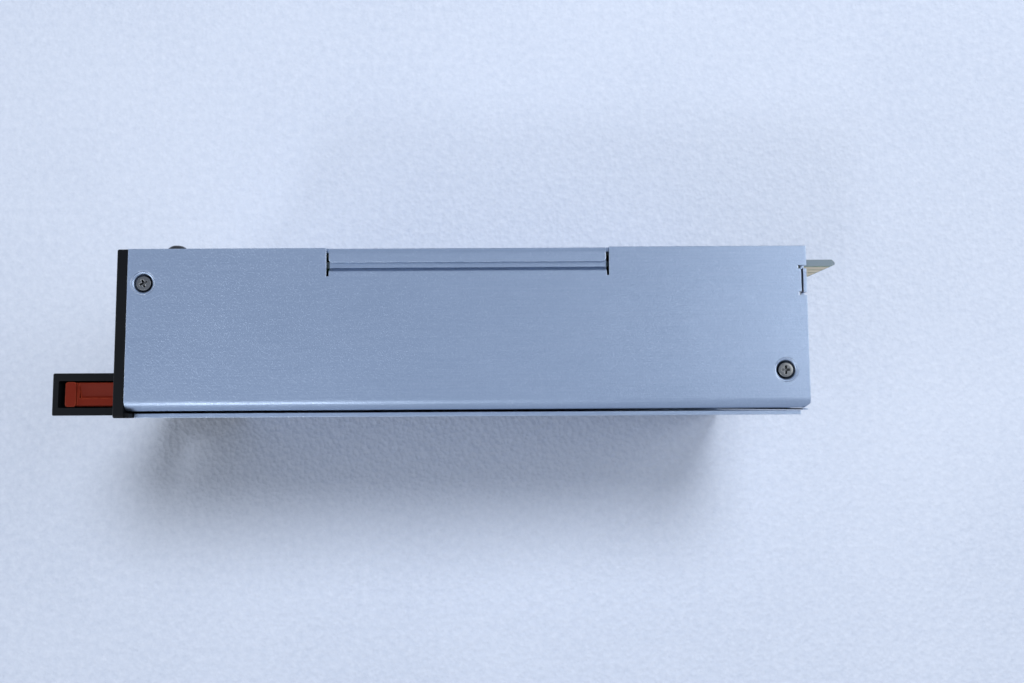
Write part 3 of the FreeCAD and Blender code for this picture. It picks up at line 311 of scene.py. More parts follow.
def spring_leg():
    """The spring's free leg, which stays behind the hook's crank pin as the hook turns."""
    bpy.ops.mesh.primitive_circle_add(
        vertices=10, radius=SPRING_WIRE * MM, fill_type="NGON", rotation=(math.pi / 2, 0, 0),
        location=(-SPRING_RADIUS * MM, 0.2 * MM, 0),
    )
    leg = bpy.context.object
    done(leg, 0)
    edit(leg)
    bpy.ops.mesh.select_all(action="SELECT")
    for along, across in ((0.02, -0.6), (0.1, -1.0), (0.78, -6.8)):
        step = (along * MM, across * MM, 0)
        bpy.ops.mesh.extrude_region_move(TRANSFORM_OT_translate={"value": step})
    outward(leg)
    x, y, z = SPRING
    leg.data.transform(Matrix.Translation(at(x, y, z + SPRING_TURNS * SPRING_PITCH)))
    leg.name = "catch_spring_leg"
    return done(leg, 60)


# ---- rear panel ----
def rear_lip():
    """The rear panel's lip behind the top return, stepped round the cover's flange."""
    bpy.ops.mesh.primitive_cube_add(size=1, location=at(162.8, -18.1, 37.5))
    lip = bpy.context.object
    lip.scale = (1.1 * MM, 1.6 * MM, 69.0 * MM)
    done(lip, 0)
    shape = edit(lip)
    choose(lip, shape, "faces", lambda f: f.normal.z > 0.9)
    bpy.ops.mesh.extrude_region_move(TRANSFORM_OT_translate={"value": (0, 0, 0.01 * MM)})
    bpy.ops.transform.resize(value=(1, 0.24, 1), center_override=at(162.8, -18.9, 72.0))
    bpy.ops.mesh.extrude_region_move(TRANSFORM_OT_translate={"value": (0, 0, 12.4 * MM)})
    bpy.ops.mesh.select_all(action="SELECT")
    bpy.ops.mesh.bevel(offset=0.12 * MM, segments=2, affect="EDGES")
    done(lip, 35)
    lip.name = "rear_panel_lip"
    return lip


# ---- windings ----
def wire_loop(radial, axial, wire):
    """One turn of wire: a rounded rectangle in the XY plane, centred on the origin."""
    bpy.ops.mesh.primitive_circle_add(
        vertices=4, radius=math.sqrt(0.5), rotation=(0, 0, math.pi / 4)
    )
    loop = bpy.context.object
    done(loop, 0)
    edit(loop, "VERT")
    bpy.ops.mesh.select_all(action="SELECT")
    bpy.ops.transform.resize(value=(radial, axial, 1))
    bpy.ops.mesh.bevel(offset=1.1 * MM, offset_type="OFFSET", segments=3, affect="VERTICES")
    bpy.ops.object.mode_set(mode="OBJECT")
    pick(loop)
    bpy.ops.object.convert(target="CURVE")
    loop.data.bevel_depth = wire
    loop.data.bevel_resolution = 1
    bpy.ops.object.convert(target="MESH")
    return done(loop, 60)


def ring_turns(x, z, y0, y1, r_in, r_out, wire, angles):
    """Turns laid side by side round a ring core that stands on the board."""
    middle = (r_in + r_out) / 2
    loop = wire_loop((r_out - r_in) * MM, (y1 - y0) * MM, wire * MM)
    turns = []
    for angle in angles:
        round_core = Matrix.Rotation(-math.radians(angle), 4, "Y")
        place = Matrix.Translation(at(x, (y0 + y1) / 2, z)) @ round_core
        turns.append(copied(loop, place @ Matrix.Translation((middle * MM, 0, 0)), "turn"))
    bpy.data.objects.remove(loop, do_unlink=True)
    return turns


def choke_turns():
    """Two windings of twelve turns on each of the two filter chokes."""
    turns = []
    for x, z in ((53.6, 64.0), (53.6, 29.5)):
        for start in (18, 198):
            angles = [start + 6 + 132 * k / 11 for k in range(12)]
            turns += ring_turns(x, z, 4.0, 13.6, 4.8, 10.2, 0.85, angles)
    return one_piece(turns, "choke_turns")


def boost_turns():
    """The one winding of thirty-five turns round the boost core."""
    angles = [12 + 5 + 326 * k / 34 for k in range(35)]
    turns = ring_turns(88.0, 47.6, 0.9, 13.3, 5.3, 11.5, 0.75, angles)
    return one_piece(turns, "boost_turns")


# ---- fan ----
def fan_wheel():
    """The fan's cup with seven twisted blades, turning about its own axis."""
    bpy.ops.mesh.primitive_cylinder_add(
        vertices=72, radius=10.0 * MM, depth=20.8 * MM, rotation=(0, math.pi / 2, 0),
        location=(16.4 * MM, 0, 0),
    )
    cup = bpy.context.object
    done(cup, 0)
    shape = edit(cup)
    choose(cup, shape, "faces", lambda f: f.normal.x > 0.9)
    bpy.ops.mesh.inset(thickness=1.2 * MM)
    bpy.ops.mesh.extrude_region_move(TRANSFORM_OT_translate={"value": (-19.2 * MM, 0, 0)})
    bpy.ops.mesh.inset(thickness=6.4 * MM)
    bpy.ops.mesh.extrude_region_move(TRANSFORM_OT_translate={"value": (3.0 * MM, 0, 0)})
    nose = 6 * MM
    choose(cup, shape, "faces", lambda f: (
        f.normal.x < -0.9 and abs(f.calc_center_median().x - nose) < 1e-5
    ))
    bpy.ops.mesh.bevel(offset=0.9 * MM, segments=5, affect="EDGES")
    choose(cup, shape, "faces", lambda f: f.normal.x < -0.9 and f.calc_area() > 1e-4)
    bpy.ops.mesh.inset(thickness=2.2 * MM)
    bpy.ops.mesh.extrude_region_move(TRANSFORM_OT_translate={"value": (0.35 * MM, 0, 0)})
    bpy.ops.transform.resize(value=(1, 0.96, 0.96))
    bpy.ops.object.mode_set(mode="OBJECT")
    bpy.ops.mesh.primitive_grid_add(x_subdivisions=1, y_subdivisions=6, size=1)
    blade = bpy.context.object
    shape = edit(blade, "VERT")
    choose(blade, shape, "verts", lambda v: v.co.x > 0)
    bpy.ops.mesh.delete(type="VERT")
    bpy.ops.mesh.select_all(action="SELECT")
    bpy.ops.transform.resize(value=(0, 7.2 * MM, 0), center_override=(0, 0, 0))
    bpy.ops.transform.translate(value=(0, 12.9 * MM, 0))
    bpy.ops.object.mode_set(mode="OBJECT")
    twist = blade.modifiers.new("twist", "SCREW")
    twist.axis = "X"
    twist.angle = math.radians(-47)
    twist.screw_offset = 15.0 * MM
    twist.steps = twist.render_steps = 12
    twist.use_normal_calculate = True
    wall = blade.modifiers.new("wall", "SOLIDIFY")
    wall.thickness = 0.9 * MM
    wall.offset = 0
    edge = blade.modifiers.new("edge", "BEVEL")
    edge.width = 0.25 * MM
    edge.segments = 2
    apply_all(blade)
    blades = []
    for k in range(7):
        turn = Matrix.Rotation(2 * math.pi * k / 7, 4, "X")
        blades.append(copied(blade, turn @ Matrix.Translation((7.4 * MM, 0, 0)), "blade"))
    bpy.data.objects.remove(blade, do_unlink=True)
    wheel = one_piece([cup, *blades], "fan_wheel")
    wheel.data.transform(Matrix.Translation(at(0, FAN[0], FAN[1])))
    return done(wheel, 35)


# ---- shader groups ----
def link(tree, source, target):
    tree.links.new(source, target)


def add(tree, kind, inputs=None, **settings):
    """A shader node with its settings; inputs are values or the sockets that feed them."""
    made = tree.nodes.new(kind)
    for name, value in settings.items():
        setattr(made, name, value)
    for name, value in (inputs or {}).items():
        if isinstance(value, bpy.types.NodeSocket):
            link(tree, value, made.inputs[name])
        else:
            made.inputs[name].default_value = value
    return made


def calc(tree, operation, *values):
    made = add(tree, "ShaderNodeMath", dict(enumerate(values)), operation=operation)
    return made.outputs[0]


def remap(tree, value, low, high, **limits):
    """A value brought from low..high to 0..1, or to the given To Min and To Max."""
    wanted = {"Value": value, "From Min": low, "From Max": high}
    for name, limit in limits.items():
        wanted[{"to_min": "To Min", "to_max": "To Max"}[name]] = limit
    return add(tree, "ShaderNodeMapRange", wanted).outputs[0]


def noise(tree, vector, scale, detail, rough=0.5):
    made = add(tree, "ShaderNodeTexNoise", {
        "Vector": vector, "Scale": scale, "Detail": detail, "Roughness": rough,
    })
    return made.outputs["Fac"]


def stretched(tree, vector, by):
    made = add(tree, "ShaderNodeVectorMath", {0: vector, 1: by}, operation="MULTIPLY")
    return made.outputs[0]


def shader_group(name, inputs, outputs):
    """A new node group with its input and output sockets."""
    tree = bpy.data.node_groups.new(name, "ShaderNodeTree")
    for label, kind, value in inputs:
        socket = tree.interface.new_socket(name=label, in_out="INPUT", socket_type=kind)
        if value is not None:
            socket.default_value = value
    for label, kind in outputs:
        tree.interface.new_socket(name=label, in_out="OUTPUT", socket_type=kind)
    return tree, tree.nodes.new("NodeGroupInput").outputs, tree.nodes.new("NodeGroupOutput").inputs


FLOAT, VECTOR, COLOUR = "NodeSocketFloat", "NodeSocketVector", "NodeSocketColor"


def build_grain():
    """Fine surface grain, drawn out along the direction given by Stretch."""
    tree, given, out = shader_group(
        "surface_grain",
        (("Vector", VECTOR, None), ("Stretch", VECTOR, (1, 1, 1)), ("Scale", FLOAT, 3000.0)),
        (("Grain", FLOAT), ("Patches", FLOAT)),
    )
    drawn = stretched(tree, given["Vector"], given["Stretch"])
    link(tree, noise(tree, drawn, given["Scale"], 3.0, 0.65), out["Grain"])
    broad = noise(tree, given["Vector"], 34.0, 4.0, 0.55)
    link(tree, remap(tree, broad, 0.34, 0.66), out["Patches"])
    return tree


def build_worn_edges():
    """Where edges are rubbed: a broken mask, and a normal that rounds the edge."""
    tree, given, out = shader_group(
        "worn_edges",
        (("Vector", VECTOR, None), ("Radius", FLOAT, 0.0003)),
        (("Edge", FLOAT), ("Round Normal", VECTOR)),
    )
    round_off = add(tree, "ShaderNodeBevel", {"Radius": given["Radius"]}, samples=6)
    flat = add(tree, "ShaderNodeNewGeometry")
    same = add(tree, "ShaderNodeVectorMath", {
        0: round_off.outputs[0], 1: flat.outputs["Normal"],
    }, operation="DOT_PRODUCT")
    edge = remap(tree, same.outputs["Value"], 0.995, 0.86)
    chips = remap(tree, noise(tree, given["Vector"], 420.0, 4.0), 0.36, 0.6)
    link(tree, calc(tree, "MULTIPLY", edge, chips), out["Edge"])
    link(tree, round_off.outputs[0], out["Round Normal"])
    return tree


def build_sparkle():
    """Small crystals in a zinc coat; Sparkle marks the few cells that get a painted glint, a
    highlight painted into the colour.
    """
    tree, given, out = shader_group(
        "zinc_sparkle",
        (("Vector", VECTOR, None), ("Scale", FLOAT, 2400.0)),
        (("Sparkle", FLOAT), ("Crystals", FLOAT)),
    )
    cells = add(tree, "ShaderNodeTexVoronoi", {"Vector": given["Vector"], "Scale": given["Scale"]})
    tone = add(tree, "ShaderNodeSeparateColor", {"Color": cells.outputs["Color"]})
    link(tree, remap(tree, tone.outputs[0], 0.93, 1.0), out["Sparkle"])
    link(tree, tone.outputs[1], out["Crystals"])
    return tree


GRAIN = build_grain()
WORN = build_worn_edges()
SPARKLE = build_sparkle()


# ---- materials ----
def mixed(tree, share, one, two):
    """One colour turning to another by a mask."""
    made = add(tree, "ShaderNodeMix", data_type="RGBA")
    for socket, value in ((made.inputs[0], share), (made.inputs[6], one), (made.inputs[7], two)):
        if isinstance(value, bpy.types.NodeSocket):
            link(tree, value, socket)
        else:
            socket.default_value = value if isinstance(value, float) else (*value, 1.0)
    return made.outputs[2]


def spread(tree, value, low, high):
    """A mask of 0..1 brought to low..high."""
    return remap(tree, value, 0.0, 1.0, to_min=low, to_max=high)


def finish(name, tone, second, worn, rough, metal=0.0, stretch=(1, 1, 1), scale=3000.0, bump=0.15,
           radius=0.0003, depth=0.00002, coat=0.0, shine=0.5, detail=None):
    """A surface with two tones in soft patches, rubbed edges, and grain in its gloss and relief."""
    material = bpy.data.materials.new(name)
    material.use_nodes = True
    tree = material.node_tree
    surface = tree.nodes["Principled BSDF"]
    surface.inputs["Metallic"].default_value = metal
    surface.inputs["Coat Weight"].default_value = coat
    surface.inputs["Specular IOR Level"].default_value = shine
    place = add(tree, "ShaderNodeTexCoord").outputs["Object"]
    grain = add(tree, "ShaderNodeGroup", node_tree=GRAIN)
    link(tree, place, grain.inputs["Vector"])
    grain.inputs["Stretch"].default_value = stretch
    grain.inputs["Scale"].default_value = scale
    wear = add(tree, "ShaderNodeGroup", node_tree=WORN)
    link(tree, place, wear.inputs["Vector"])
    wear.inputs["Radius"].default_value = radius
    colour = mixed(tree, grain.outputs["Patches"], tone, second)
    gloss = spread(tree, grain.outputs["Grain"], *rough)
    height = grain.outputs["Grain"]
    if detail:
        colour, gloss, height = detail(tree, surface, place, colour, gloss, height)
    colour = mixed(tree, wear.outputs["Edge"], colour, worn)
    relief = add(tree, "ShaderNodeBump", {
        "Height": height, "Strength": bump, "Distance": depth,
        "Normal": wear.outputs["Round Normal"],
    })
    link(tree, colour, surface.inputs["Base Color"])
    link(tree, gloss, surface.inputs["Roughness"])
    link(tree, relief.outputs[0], surface.inputs["Normal"])
    return material


def zinc_detail(tree, surface, place, colour, gloss, height):
    """Fine crystals and faint rolling lines in the galvanised coat, with painted glints lightening
    a few crystals.
    """
    zinc = add(tree, "ShaderNodeGroup", node_tree=SPARKLE)
    link(tree, place, zinc.inputs["Vector"])
    crystals = zinc.outputs["Crystals"]
    colour = mixed(tree, spread(tree, crystals, 0.0, 0.24), colour, (0.28, 0.35, 0.47))
    # Painted glints: a few crystal cells lightened in the base colour, standing in for highlights
    # caught by the crystals.
    painted_glints = spread(tree, zinc.outputs["Sparkle"], 0.0, 0.10)
    colour = mixed(tree, painted_glints, colour, (0.62, 0.70, 0.80))
    rolled = noise(tree, stretched(tree, place, (0.03, 1.0, 1.0)), 2200.0, 2.0)
    lines = remap(tree, rolled, 0.35, 0.7, to_max=0.14)
    colour = mixed(tree, lines, colour, (0.45, 0.53, 0.65))
    height = calc(tree, "ADD", height, crystals)
    dents = noise(tree, place, 2400.0, 1.0)
    height = calc(tree, "MULTIPLY_ADD", dents, 0.7, height)
    return colour, gloss, height


def board_detail(tree, surface, place, colour, gloss, height):
    """Solder mask with copper runs showing through, and bare laminate on the cut edges."""
    normal = add(tree, "ShaderNodeTexCoord").outputs["Normal"]
    part = add(tree, "ShaderNodeSeparateXYZ", {0: normal}).outputs["Y"]
    face = calc(tree, "GREATER_THAN", calc(tree, "ABSOLUTE", part), 0.7)
    turned = add(tree, "ShaderNodeMapping", {
        "Vector": place, "Rotation": (math.pi / 2, 0, 0),
    }).outputs[0]
    runs = add(tree, "ShaderNodeTexBrick", {
        "Vector": turned, "Scale": 110.0, "Mortar Size": 0.04, "Mortar Smooth": 0.3,
    }, offset=0.37, squash=0.6)
    colour = mixed(tree, runs.outputs["Fac"], colour, (0.03, 0.20, 0.09))
    colour = mixed(tree, face, (0.125, 0.17, 0.21), colour)
    return colour, gloss, height


def fuse_detail(tree, surface, place, colour, gloss, height):
    """Plated end caps on the fuse's ceramic tube."""
    along = add(tree, "ShaderNodeSeparateXYZ", {0: place}).outputs["X"]
    away = calc(tree, "ABSOLUTE", calc(tree, "ADD", along, FUSE_OFFSET * MM))
    cap = calc(tree, "GREATER_THAN", away, FUSE_CAP_START * MM)
    link(tree, cap, surface.inputs["Metallic"])
    return mixed(tree, cap, colour, (0.66, 0.65, 0.62)), gloss, height


def sleeve_detail(tree, surface, place, colour, gloss, height):
    """Bare aluminium on the capacitor's flat end, inside the shrink sleeve's rim."""
    normal = add(tree, "ShaderNodeTexCoord").outputs["Normal"]
    part = add(tree, "ShaderNodeSeparateXYZ", {0: normal}).outputs["X"]
    end = calc(tree, "LESS_THAN", part, -0.9)
    link(tree, end, surface.inputs["Metallic"])
    return mixed(tree, end, colour, (0.72, 0.73, 0.74)), gloss, height


def wire_detail(tree, surface, place, colour, gloss, height):
    """Wire colours by height: black, red and yellow to the fan, blue, green and brown mains."""
    up = add(tree, "ShaderNodeSeparateXYZ", {0: place}).outputs["Z"]
    share = calc(tree, "DIVIDE", up, MODULE_WIDTH * MM)
    bands = add(tree, "ShaderNodeValToRGB", {"Fac": share})
    ramp = bands.color_ramp
    ramp.interpolation = "CONSTANT"
    ramp.elements[0].color = (0.018, 0.018, 0.02, 1)
    ramp.elements[1].position = 49.05 / MODULE_WIDTH
    ramp.elements[1].color = (0.42, 0.02, 0.015, 1)
    for height_mm, skin in (
        (50.35, (0.62, 0.48, 0.03)),
        (53.0, (0.02, 0.09, 0.38)),
        (66.0, (0.05, 0.30, 0.06)),
        (75.0, (0.12, 0.05, 0.02)),
    ):
        ramp.elements.new(height_mm / MODULE_WIDTH).color = (*skin, 1)
    return mixed(tree, 0.12, bands.outputs["Color"], colour), gloss, height


def clear_material(name, tint, rough, weight):
    """Clear or tinted plastic; weight is how much light it lets through."""
    material = bpy.data.materials.new(name)
    material.use_nodes = True
    tree = material.node_tree
    surface = tree.nodes["Principled BSDF"]
    surface.inputs["Transmission Weight"].default_value = weight
    surface.inputs["IOR"].default_value = 1.49
    place = add(tree, "ShaderNodeTexCoord").outputs["Object"]
    grain = add(tree, "ShaderNodeGroup", node_tree=GRAIN)
    link(tree, place, grain.inputs["Vector"])
    deeper = tuple(0.93 * c for c in tint)
    link(tree, mixed(tree, grain.outputs["Patches"], tint, deeper), surface.inputs["Base Color"])
    link(tree, spread(tree, grain.outputs["Grain"], *rough), surface.inputs["Roughness"])
    relief = add(tree, "ShaderNodeBump", {
        "Height": grain.outputs["Grain"], "Strength": 0.08, "Distance": 0.00001,
    })
    link(tree, relief.outputs[0], surface.inputs["Normal"])
    return material


ALONG_X = (0.035, 1.0, 1.0)

FINISHES = {
    "galvanised": finish(
        "galvanised_steel", tone=(0.328, 0.408, 0.528), second=(0.348, 0.430, 0.553),
        worn=(0.62, 0.70, 0.80), rough=(0.31, 0.44), metal=1.0, stretch=ALONG_X, scale=3400.0,
        bump=0.5, radius=0.00025, depth=0.00006, detail=zinc_detail,
    ),
    "black_plastic": finish(
        "black_moulded_plastic", tone=(0.0034, 0.004, 0.005), second=(0.005, 0.0058, 0.007),
        worn=(0.016, 0.017, 0.02), rough=(0.36, 0.52), scale=2600.0, bump=0.35, radius=0.0002,
        depth=0.00004, shine=0.11,
    ),
    "orange_plastic": finish(
        "orange_moulded_plastic", tone=(0.120, 0.0125, 0.006), second=(0.100, 0.0105, 0.005),
        worn=(0.22, 0.035, 0.016), rough=(0.32, 0.50), scale=2400.0, bump=0.25, radius=0.0004,
        depth=0.00003, shine=0.1,
    ),
    "spring_steel": finish(
        "spring_steel", tone=(0.42, 0.42, 0.41), second=(0.50, 0.50, 0.49),
        worn=(0.72, 0.72, 0.72), rough=(0.26, 0.42), metal=1.0, stretch=ALONG_X, scale=2200.0,
    ),
    "pin_steel": finish(
        "ground_pin_steel", tone=(0.58, 0.58, 0.58), second=(0.64, 0.64, 0.64),
        worn=(0.80, 0.80, 0.80), rough=(0.16, 0.30), metal=1.0,
    ),
    "bright_screw": finish(
        "plated_screw_steel", tone=(0.14, 0.145, 0.15), second=(0.21, 0.215, 0.21),
        worn=(0.60, 0.61, 0.60), rough=(0.26, 0.44), metal=1.0, scale=1800.0, radius=0.0002,
    ),
    "black_screw": finish(
        "blackened_screw_steel", tone=(0.045, 0.045, 0.048), second=(0.07, 0.07, 0.072),
        worn=(0.40, 0.40, 0.40), rough=(0.28, 0.46), metal=0.9, scale=1800.0, radius=0.0002,
    ),
    "fan_plastic": finish(
        "fan_glass_filled_plastic", tone=(0.010, 0.010, 0.011), second=(0.015, 0.015, 0.016),
        worn=(0.05, 0.05, 0.052), rough=(0.40, 0.60), stretch=(0.2, 1, 1), bump=0.3, radius=0.0003,
        depth=0.00003, shine=0.3,
    ),
    "magnet": finish(
        "bonded_magnet", tone=(0.05, 0.05, 0.052), second=(0.07, 0.07, 0.072),
        worn=(0.16, 0.16, 0.16), rough=(0.5, 0.7),
    ),
    "bearing_steel": finish(
        "bearing_steel", tone=(0.55, 0.55, 0.55), second=(0.62, 0.62, 0.62), worn=(0.8, 0.8, 0.8),
        rough=(0.14, 0.26), metal=1.0,
    ),
    "copper": finish(
        "enamelled_copper", tone=(0.50, 0.17, 0.055), second=(0.60, 0.24, 0.08),
        worn=(0.80, 0.44, 0.22), rough=(0.22, 0.38), metal=0.85, scale=1500.0, coat=0.4,
    ),
    "wire_skin": finish(
        "wire_insulation", tone=(0.03, 0.03, 0.032), second=(0.045, 0.045, 0.047),
        worn=(0.09, 0.09, 0.09), rough=(0.32, 0.46), detail=wire_detail,
    ),
    "inlet_plastic": finish(
        "glossy_black_inlet", tone=(0.009, 0.009, 0.01), second=(0.013, 0.013, 0.014),
        worn=(0.05, 0.05, 0.052), rough=(0.24, 0.38), bump=0.1, radius=0.0004,
    ),
    "nickel": finish(
        "nickel_plate", tone=(0.60, 0.58, 0.54), second=(0.66, 0.64, 0.60),
        worn=(0.82, 0.80, 0.76), rough=(0.14, 0.28), metal=1.0, stretch=ALONG_X,
    ),
    "clear_rod": clear_material(
        "clear_light_pipe", tint=(0.95, 0.97, 0.97), rough=(0.03, 0.12), weight=1.0,
    ),
    "lamp": clear_material("lamp_lens", tint=(0.55, 0.86, 0.50), rough=(0.10, 0.22), weight=0.6),
    "board": finish(
        "green_circuit_board", tone=(0.012, 0.11, 0.045), second=(0.016, 0.14, 0.06),
        worn=(0.30, 0.36, 0.22), rough=(0.28, 0.40), coat=0.25, radius=0.00015,
        detail=board_detail,
    ),
    "gold": finish(
        "gold_contact_plate", tone=(0.60, 0.47, 0.25), second=(0.65, 0.52, 0.29),
        worn=(0.78, 0.66, 0.42), rough=(0.24, 0.40), metal=1.0, stretch=ALONG_X, scale=3200.0,
        radius=0.0001,
    ),
    "brass": finish(
        "turned_brass", tone=(0.62, 0.42, 0.15), second=(0.70, 0.50, 0.20),
        worn=(0.88, 0.72, 0.38), rough=(0.18, 0.34), metal=1.0,
    ),
    "insulator": finish(
        "insulating_film", tone=(0.62, 0.60, 0.50), second=(0.68, 0.66, 0.56),
        worn=(0.80, 0.79, 0.72), rough=(0.28, 0.44), radius=0.0001,
    ),
    "header_plastic": finish(
        "cream_header_plastic", tone=(0.70, 0.66, 0.54), second=(0.76, 0.72, 0.60),
        worn=(0.85, 0.83, 0.74), rough=(0.36, 0.54),
    ),
    "fuse_body": finish(
        "ceramic_fuse", tone=(0.72, 0.71, 0.67), second=(0.78, 0.77, 0.73),
        worn=(0.86, 0.86, 0.84), rough=(0.22, 0.40), detail=fuse_detail,
    ),
    "ferrite": finish(
        "sintered_ferrite", tone=(0.035, 0.036, 0.038), second=(0.055, 0.055, 0.057),
        worn=(0.13, 0.13, 0.13), rough=(0.48, 0.70), scale=1500.0, bump=0.3,
    ),
    "film_case": finish(
        "yellow_film_capacitor_case", tone=(0.62, 0.40, 0.035), second=(0.68, 0.46, 0.05),
        worn=(0.80, 0.64, 0.22), rough=(0.30, 0.46),
    ),
    "disc_coat": finish(
        "blue_dipped_coat", tone=(0.015, 0.09, 0.36), second=(0.02, 0.12, 0.44),
        worn=(0.10, 0.24, 0.55), rough=(0.26, 0.42), coat=0.3,
    ),
    "relay_case": finish(
        "dark_relay_case", tone=(0.02, 0.035, 0.06), second=(0.03, 0.045, 0.075),
        worn=(0.09, 0.11, 0.14), rough=(0.26, 0.42),
    ),
    "epoxy": finish(
        "moulded_epoxy", tone=(0.018, 0.018, 0.019), second=(0.028, 0.028, 0.029),
        worn=(0.07, 0.07, 0.07), rough=(0.46, 0.66), scale=1600.0, bump=0.3,
    ),
    "green_core": finish(
        "coated_powder_core", tone=(0.015, 0.13, 0.09), second=(0.02, 0.17, 0.12),
        worn=(0.12, 0.30, 0.24), rough=(0.34, 0.52), scale=1600.0,
    ),
    "can_sleeve": finish(
        "capacitor_sleeve", tone=(0.02, 0.022, 0.03), second=(0.03, 0.032, 0.042),
        worn=(0.10, 0.10, 0.12), rough=(0.20, 0.36), detail=sleeve_detail,
    ),
    "aluminium": finish(
        "extruded_aluminium", tone=(0.74, 0.75, 0.76), second=(0.80, 0.81, 0.82),
        worn=(0.90, 0.91, 0.92), rough=(0.28, 0.46), metal=1.0, stretch=ALONG_X,
    ),
    "tape": finish(
        "yellow_winding_tape", tone=(0.74, 0.50, 0.045), second=(0.80, 0.57, 0.07),
        worn=(0.86, 0.70, 0.30), rough=(0.18, 0.34), stretch=(1, 0.1, 1), scale=900.0,
    ),
    "bare_copper": finish(
        "tinned_copper_bar", tone=(0.66, 0.33, 0.19), second=(0.72, 0.40, 0.25),
        worn=(0.84, 0.56, 0.42), rough=(0.24, 0.42), metal=1.0, stretch=ALONG_X,
    ),
    "can": finish(
        "capacitor_can", tone=(0.62, 0.63, 0.65), second=(0.70, 0.71, 0.73),
        worn=(0.84, 0.85, 0.86), rough=(0.18, 0.32), metal=1.0,
    ),
}


def dress(piece, slot):
    """Gives a piece the finish of a material slot and nothing else."""
    piece.data.materials.clear()
    piece.data.materials.append(FINISHES[slot])


for part in frame["record"]["subparts"]:
    dress(nodes[part["node"]], part["material_slot"])


def put_on(piece, body, slot, *replaced):
    """Gives a new piece its finish, body and the CAD nodes it stands for."""
    dress(piece, slot)
    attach(piece, body)
    if replaced:
        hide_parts(*replaced)


put_on(wall_screw_set(), "housing", "bright_screw", "wall_screws")
put_on(fan_screw_set(), "housing", "black_screw", "fan_screws")
put_on(dome_screw(), "housing", "black_screw", "bezel_screw")
put_on(dimple_rims(), "housing", "galvanised")
put_on(spring_coil(), "housing", "spring_steel", "latch_spring")
put_on(spring_leg(), "catch", "spring_steel")
put_on(rear_lip(), "housing", "galvanised")
put_on(choke_turns(), "housing", "copper", "choke_windings")
put_on(boost_turns(), "housing", "copper", "boost_winding")
put_on(fan_wheel(), "rotor", "fan_plastic", "fan_rotor")


# ---- floor, light and camera ----
BACKGROUND = (0.61, 0.675, 0.82, 1.0)


def foam_floor():
    """A wide pale sheet of packing foam."""
    bpy.ops.mesh.primitive_plane_add(size=60.0, location=(0, 0, 0))
    floor = bpy.context.object
    floor.name = "foam_floor"
    material = bpy.data.materials.new("pale_foam")
    material.use_nodes = True
    tree = material.node_tree
    surface = tree.nodes["Principled BSDF"]
    surface.inputs["Roughness"].default_value = 0.9
    surface.inputs["Specular IOR Level"].default_value = 0.2
    place = add(tree, "ShaderNodeTexCoord").outputs["Object"]
    cells = add(tree, "ShaderNodeTexVoronoi", {"Vector": place, "Scale": 680.0})
    fine = noise(tree, place, 420.0, 5.0, 0.7)
    soft = noise(tree, place, 9.0, 4.0, 0.6)
    broad = mixed(tree, remap(tree, soft, 0.3, 0.7), (0.44, 0.505, 0.64), (0.49, 0.555, 0.69))
    grain = remap(tree, fine, 0.32, 0.72, to_max=0.55)
    link(tree, mixed(tree, grain, broad, (0.60, 0.66, 0.79)), surface.inputs["Base Color"])
    relief = add(tree, "ShaderNodeBump", {
        "Height": calc(tree, "ADD", cells.outputs["Distance"], fine),
        "Strength": 0.55, "Distance": 0.0004,
    })
    link(tree, relief.outputs[0], surface.inputs["Normal"])
    reach = add(tree, "ShaderNodeVectorMath", {0: place}, operation="LENGTH").outputs["Value"]
    far = remap(tree, reach, 0.24, 0.80)
    rays = add(tree, "ShaderNodeLightPath").outputs
    seen = calc(tree, "MAXIMUM", rays["Is Camera Ray"], rays["Is Glossy Ray"])
    pale = add(tree, "ShaderNodeEmission", {"Color": BACKGROUND, "Strength": 1.0})
    both = add(tree, "ShaderNodeMixShader", {
        0: calc(tree, "MULTIPLY", seen, far), 1: surface.outputs[0], 2: pale.outputs[0],
    })
    link(tree, both.outputs[0], tree.nodes["Material Output"].inputs["Surface"])
    floor.data.materials.append(material)


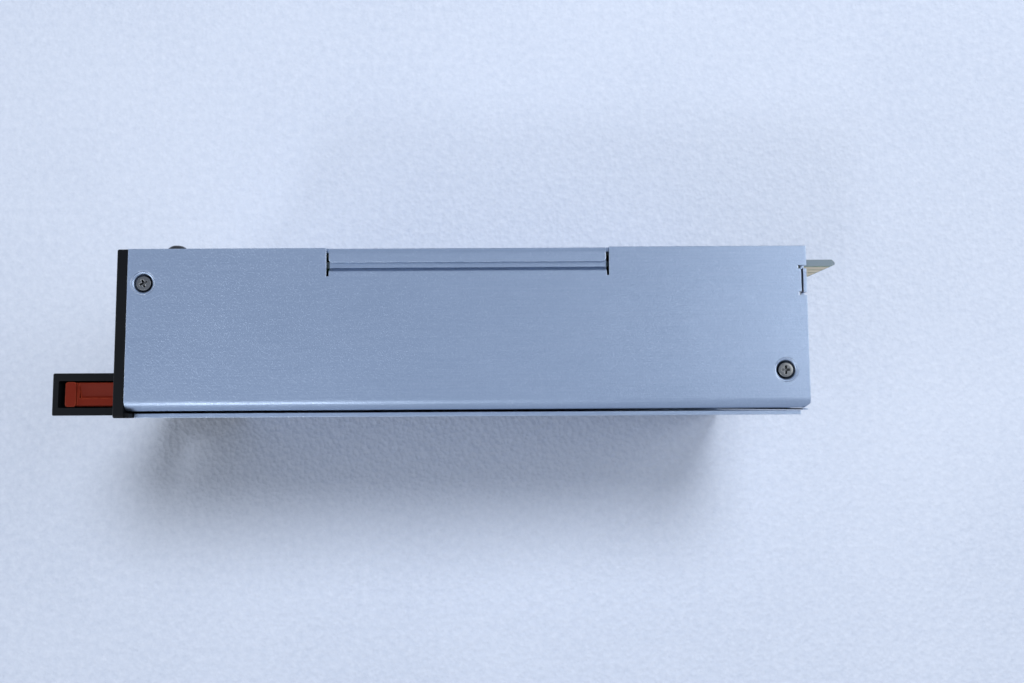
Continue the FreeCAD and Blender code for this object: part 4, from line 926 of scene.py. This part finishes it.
def studio_world():
    """Even light from all round, with a pale background to look at and to mirror."""
    world = bpy.data.worlds.new("studio")
    bpy.context.scene.world = world
    world.use_nodes = True
    tree = world.node_tree
    tree.nodes.clear()
    rays = add(tree, "ShaderNodeLightPath").outputs
    seen = calc(tree, "MAXIMUM", rays["Is Camera Ray"], rays["Is Glossy Ray"])
    seen = calc(tree, "MAXIMUM", seen, rays["Is Transmission Ray"])
    light = add(tree, "ShaderNodeBackground", {
        "Color": (0.96, 0.98, 1.0, 1.0), "Strength": 0.24,
    })
    pale = add(tree, "ShaderNodeBackground", {"Color": BACKGROUND, "Strength": 1.0})
    both = add(tree, "ShaderNodeMixShader", {
        0: seen, 1: light.outputs[0], 2: pale.outputs[0],
    })
    out = add(tree, "ShaderNodeOutputWorld")
    link(tree, both.outputs[0], out.inputs[0])


def soft_light(name, place, aim, size, power, mirrored=True):
    """A round soft light; one that isn't mirrored leaves no bright patch in the metal."""
    lamp = bpy.data.lights.new(name, "AREA")
    lamp.shape = "DISK"
    lamp.size = size
    lamp.energy = power
    holder = bpy.data.objects.new(name, lamp)
    bpy.context.collection.objects.link(holder)
    holder.location = place
    holder.rotation_euler = (Vector(place) - Vector(aim)).to_track_quat("Z", "Y").to_euler()
    holder.visible_glossy = mirrored


foam_floor()
studio_world()
soft_light("overhead_light", (0.15, 0.41, 1.00), (0.0, 0.0, 0.04), 0.40, 9.4, False)
soft_light("right_window", (1.00, 0.25, 1.00), (0, 0, 0.05), 0.9, 6.5)
soft_light("front_fill", (-1.15, -0.42, 0.34), (0, 0, 0.04), 0.8, 5.0)
soft_light("bend_light", (-0.40, -0.62, 0.95), (-0.06, 0, 0.08), 0.18, 1.7)

eye = bpy.data.cameras.new("camera")
eye.sensor_width = 36.0
eye.lens = 29.05
eye.clip_start = 0.01
camera = bpy.data.objects.new("camera", eye)
bpy.context.collection.objects.link(camera)
camera.location = (0.01621, -0.01907, 0.27990)
camera.rotation_euler = (0.07928, -0.00184, -0.00555)
bpy.context.scene.camera = camera
bpy.context.scene.view_settings.view_transform = "Standard"
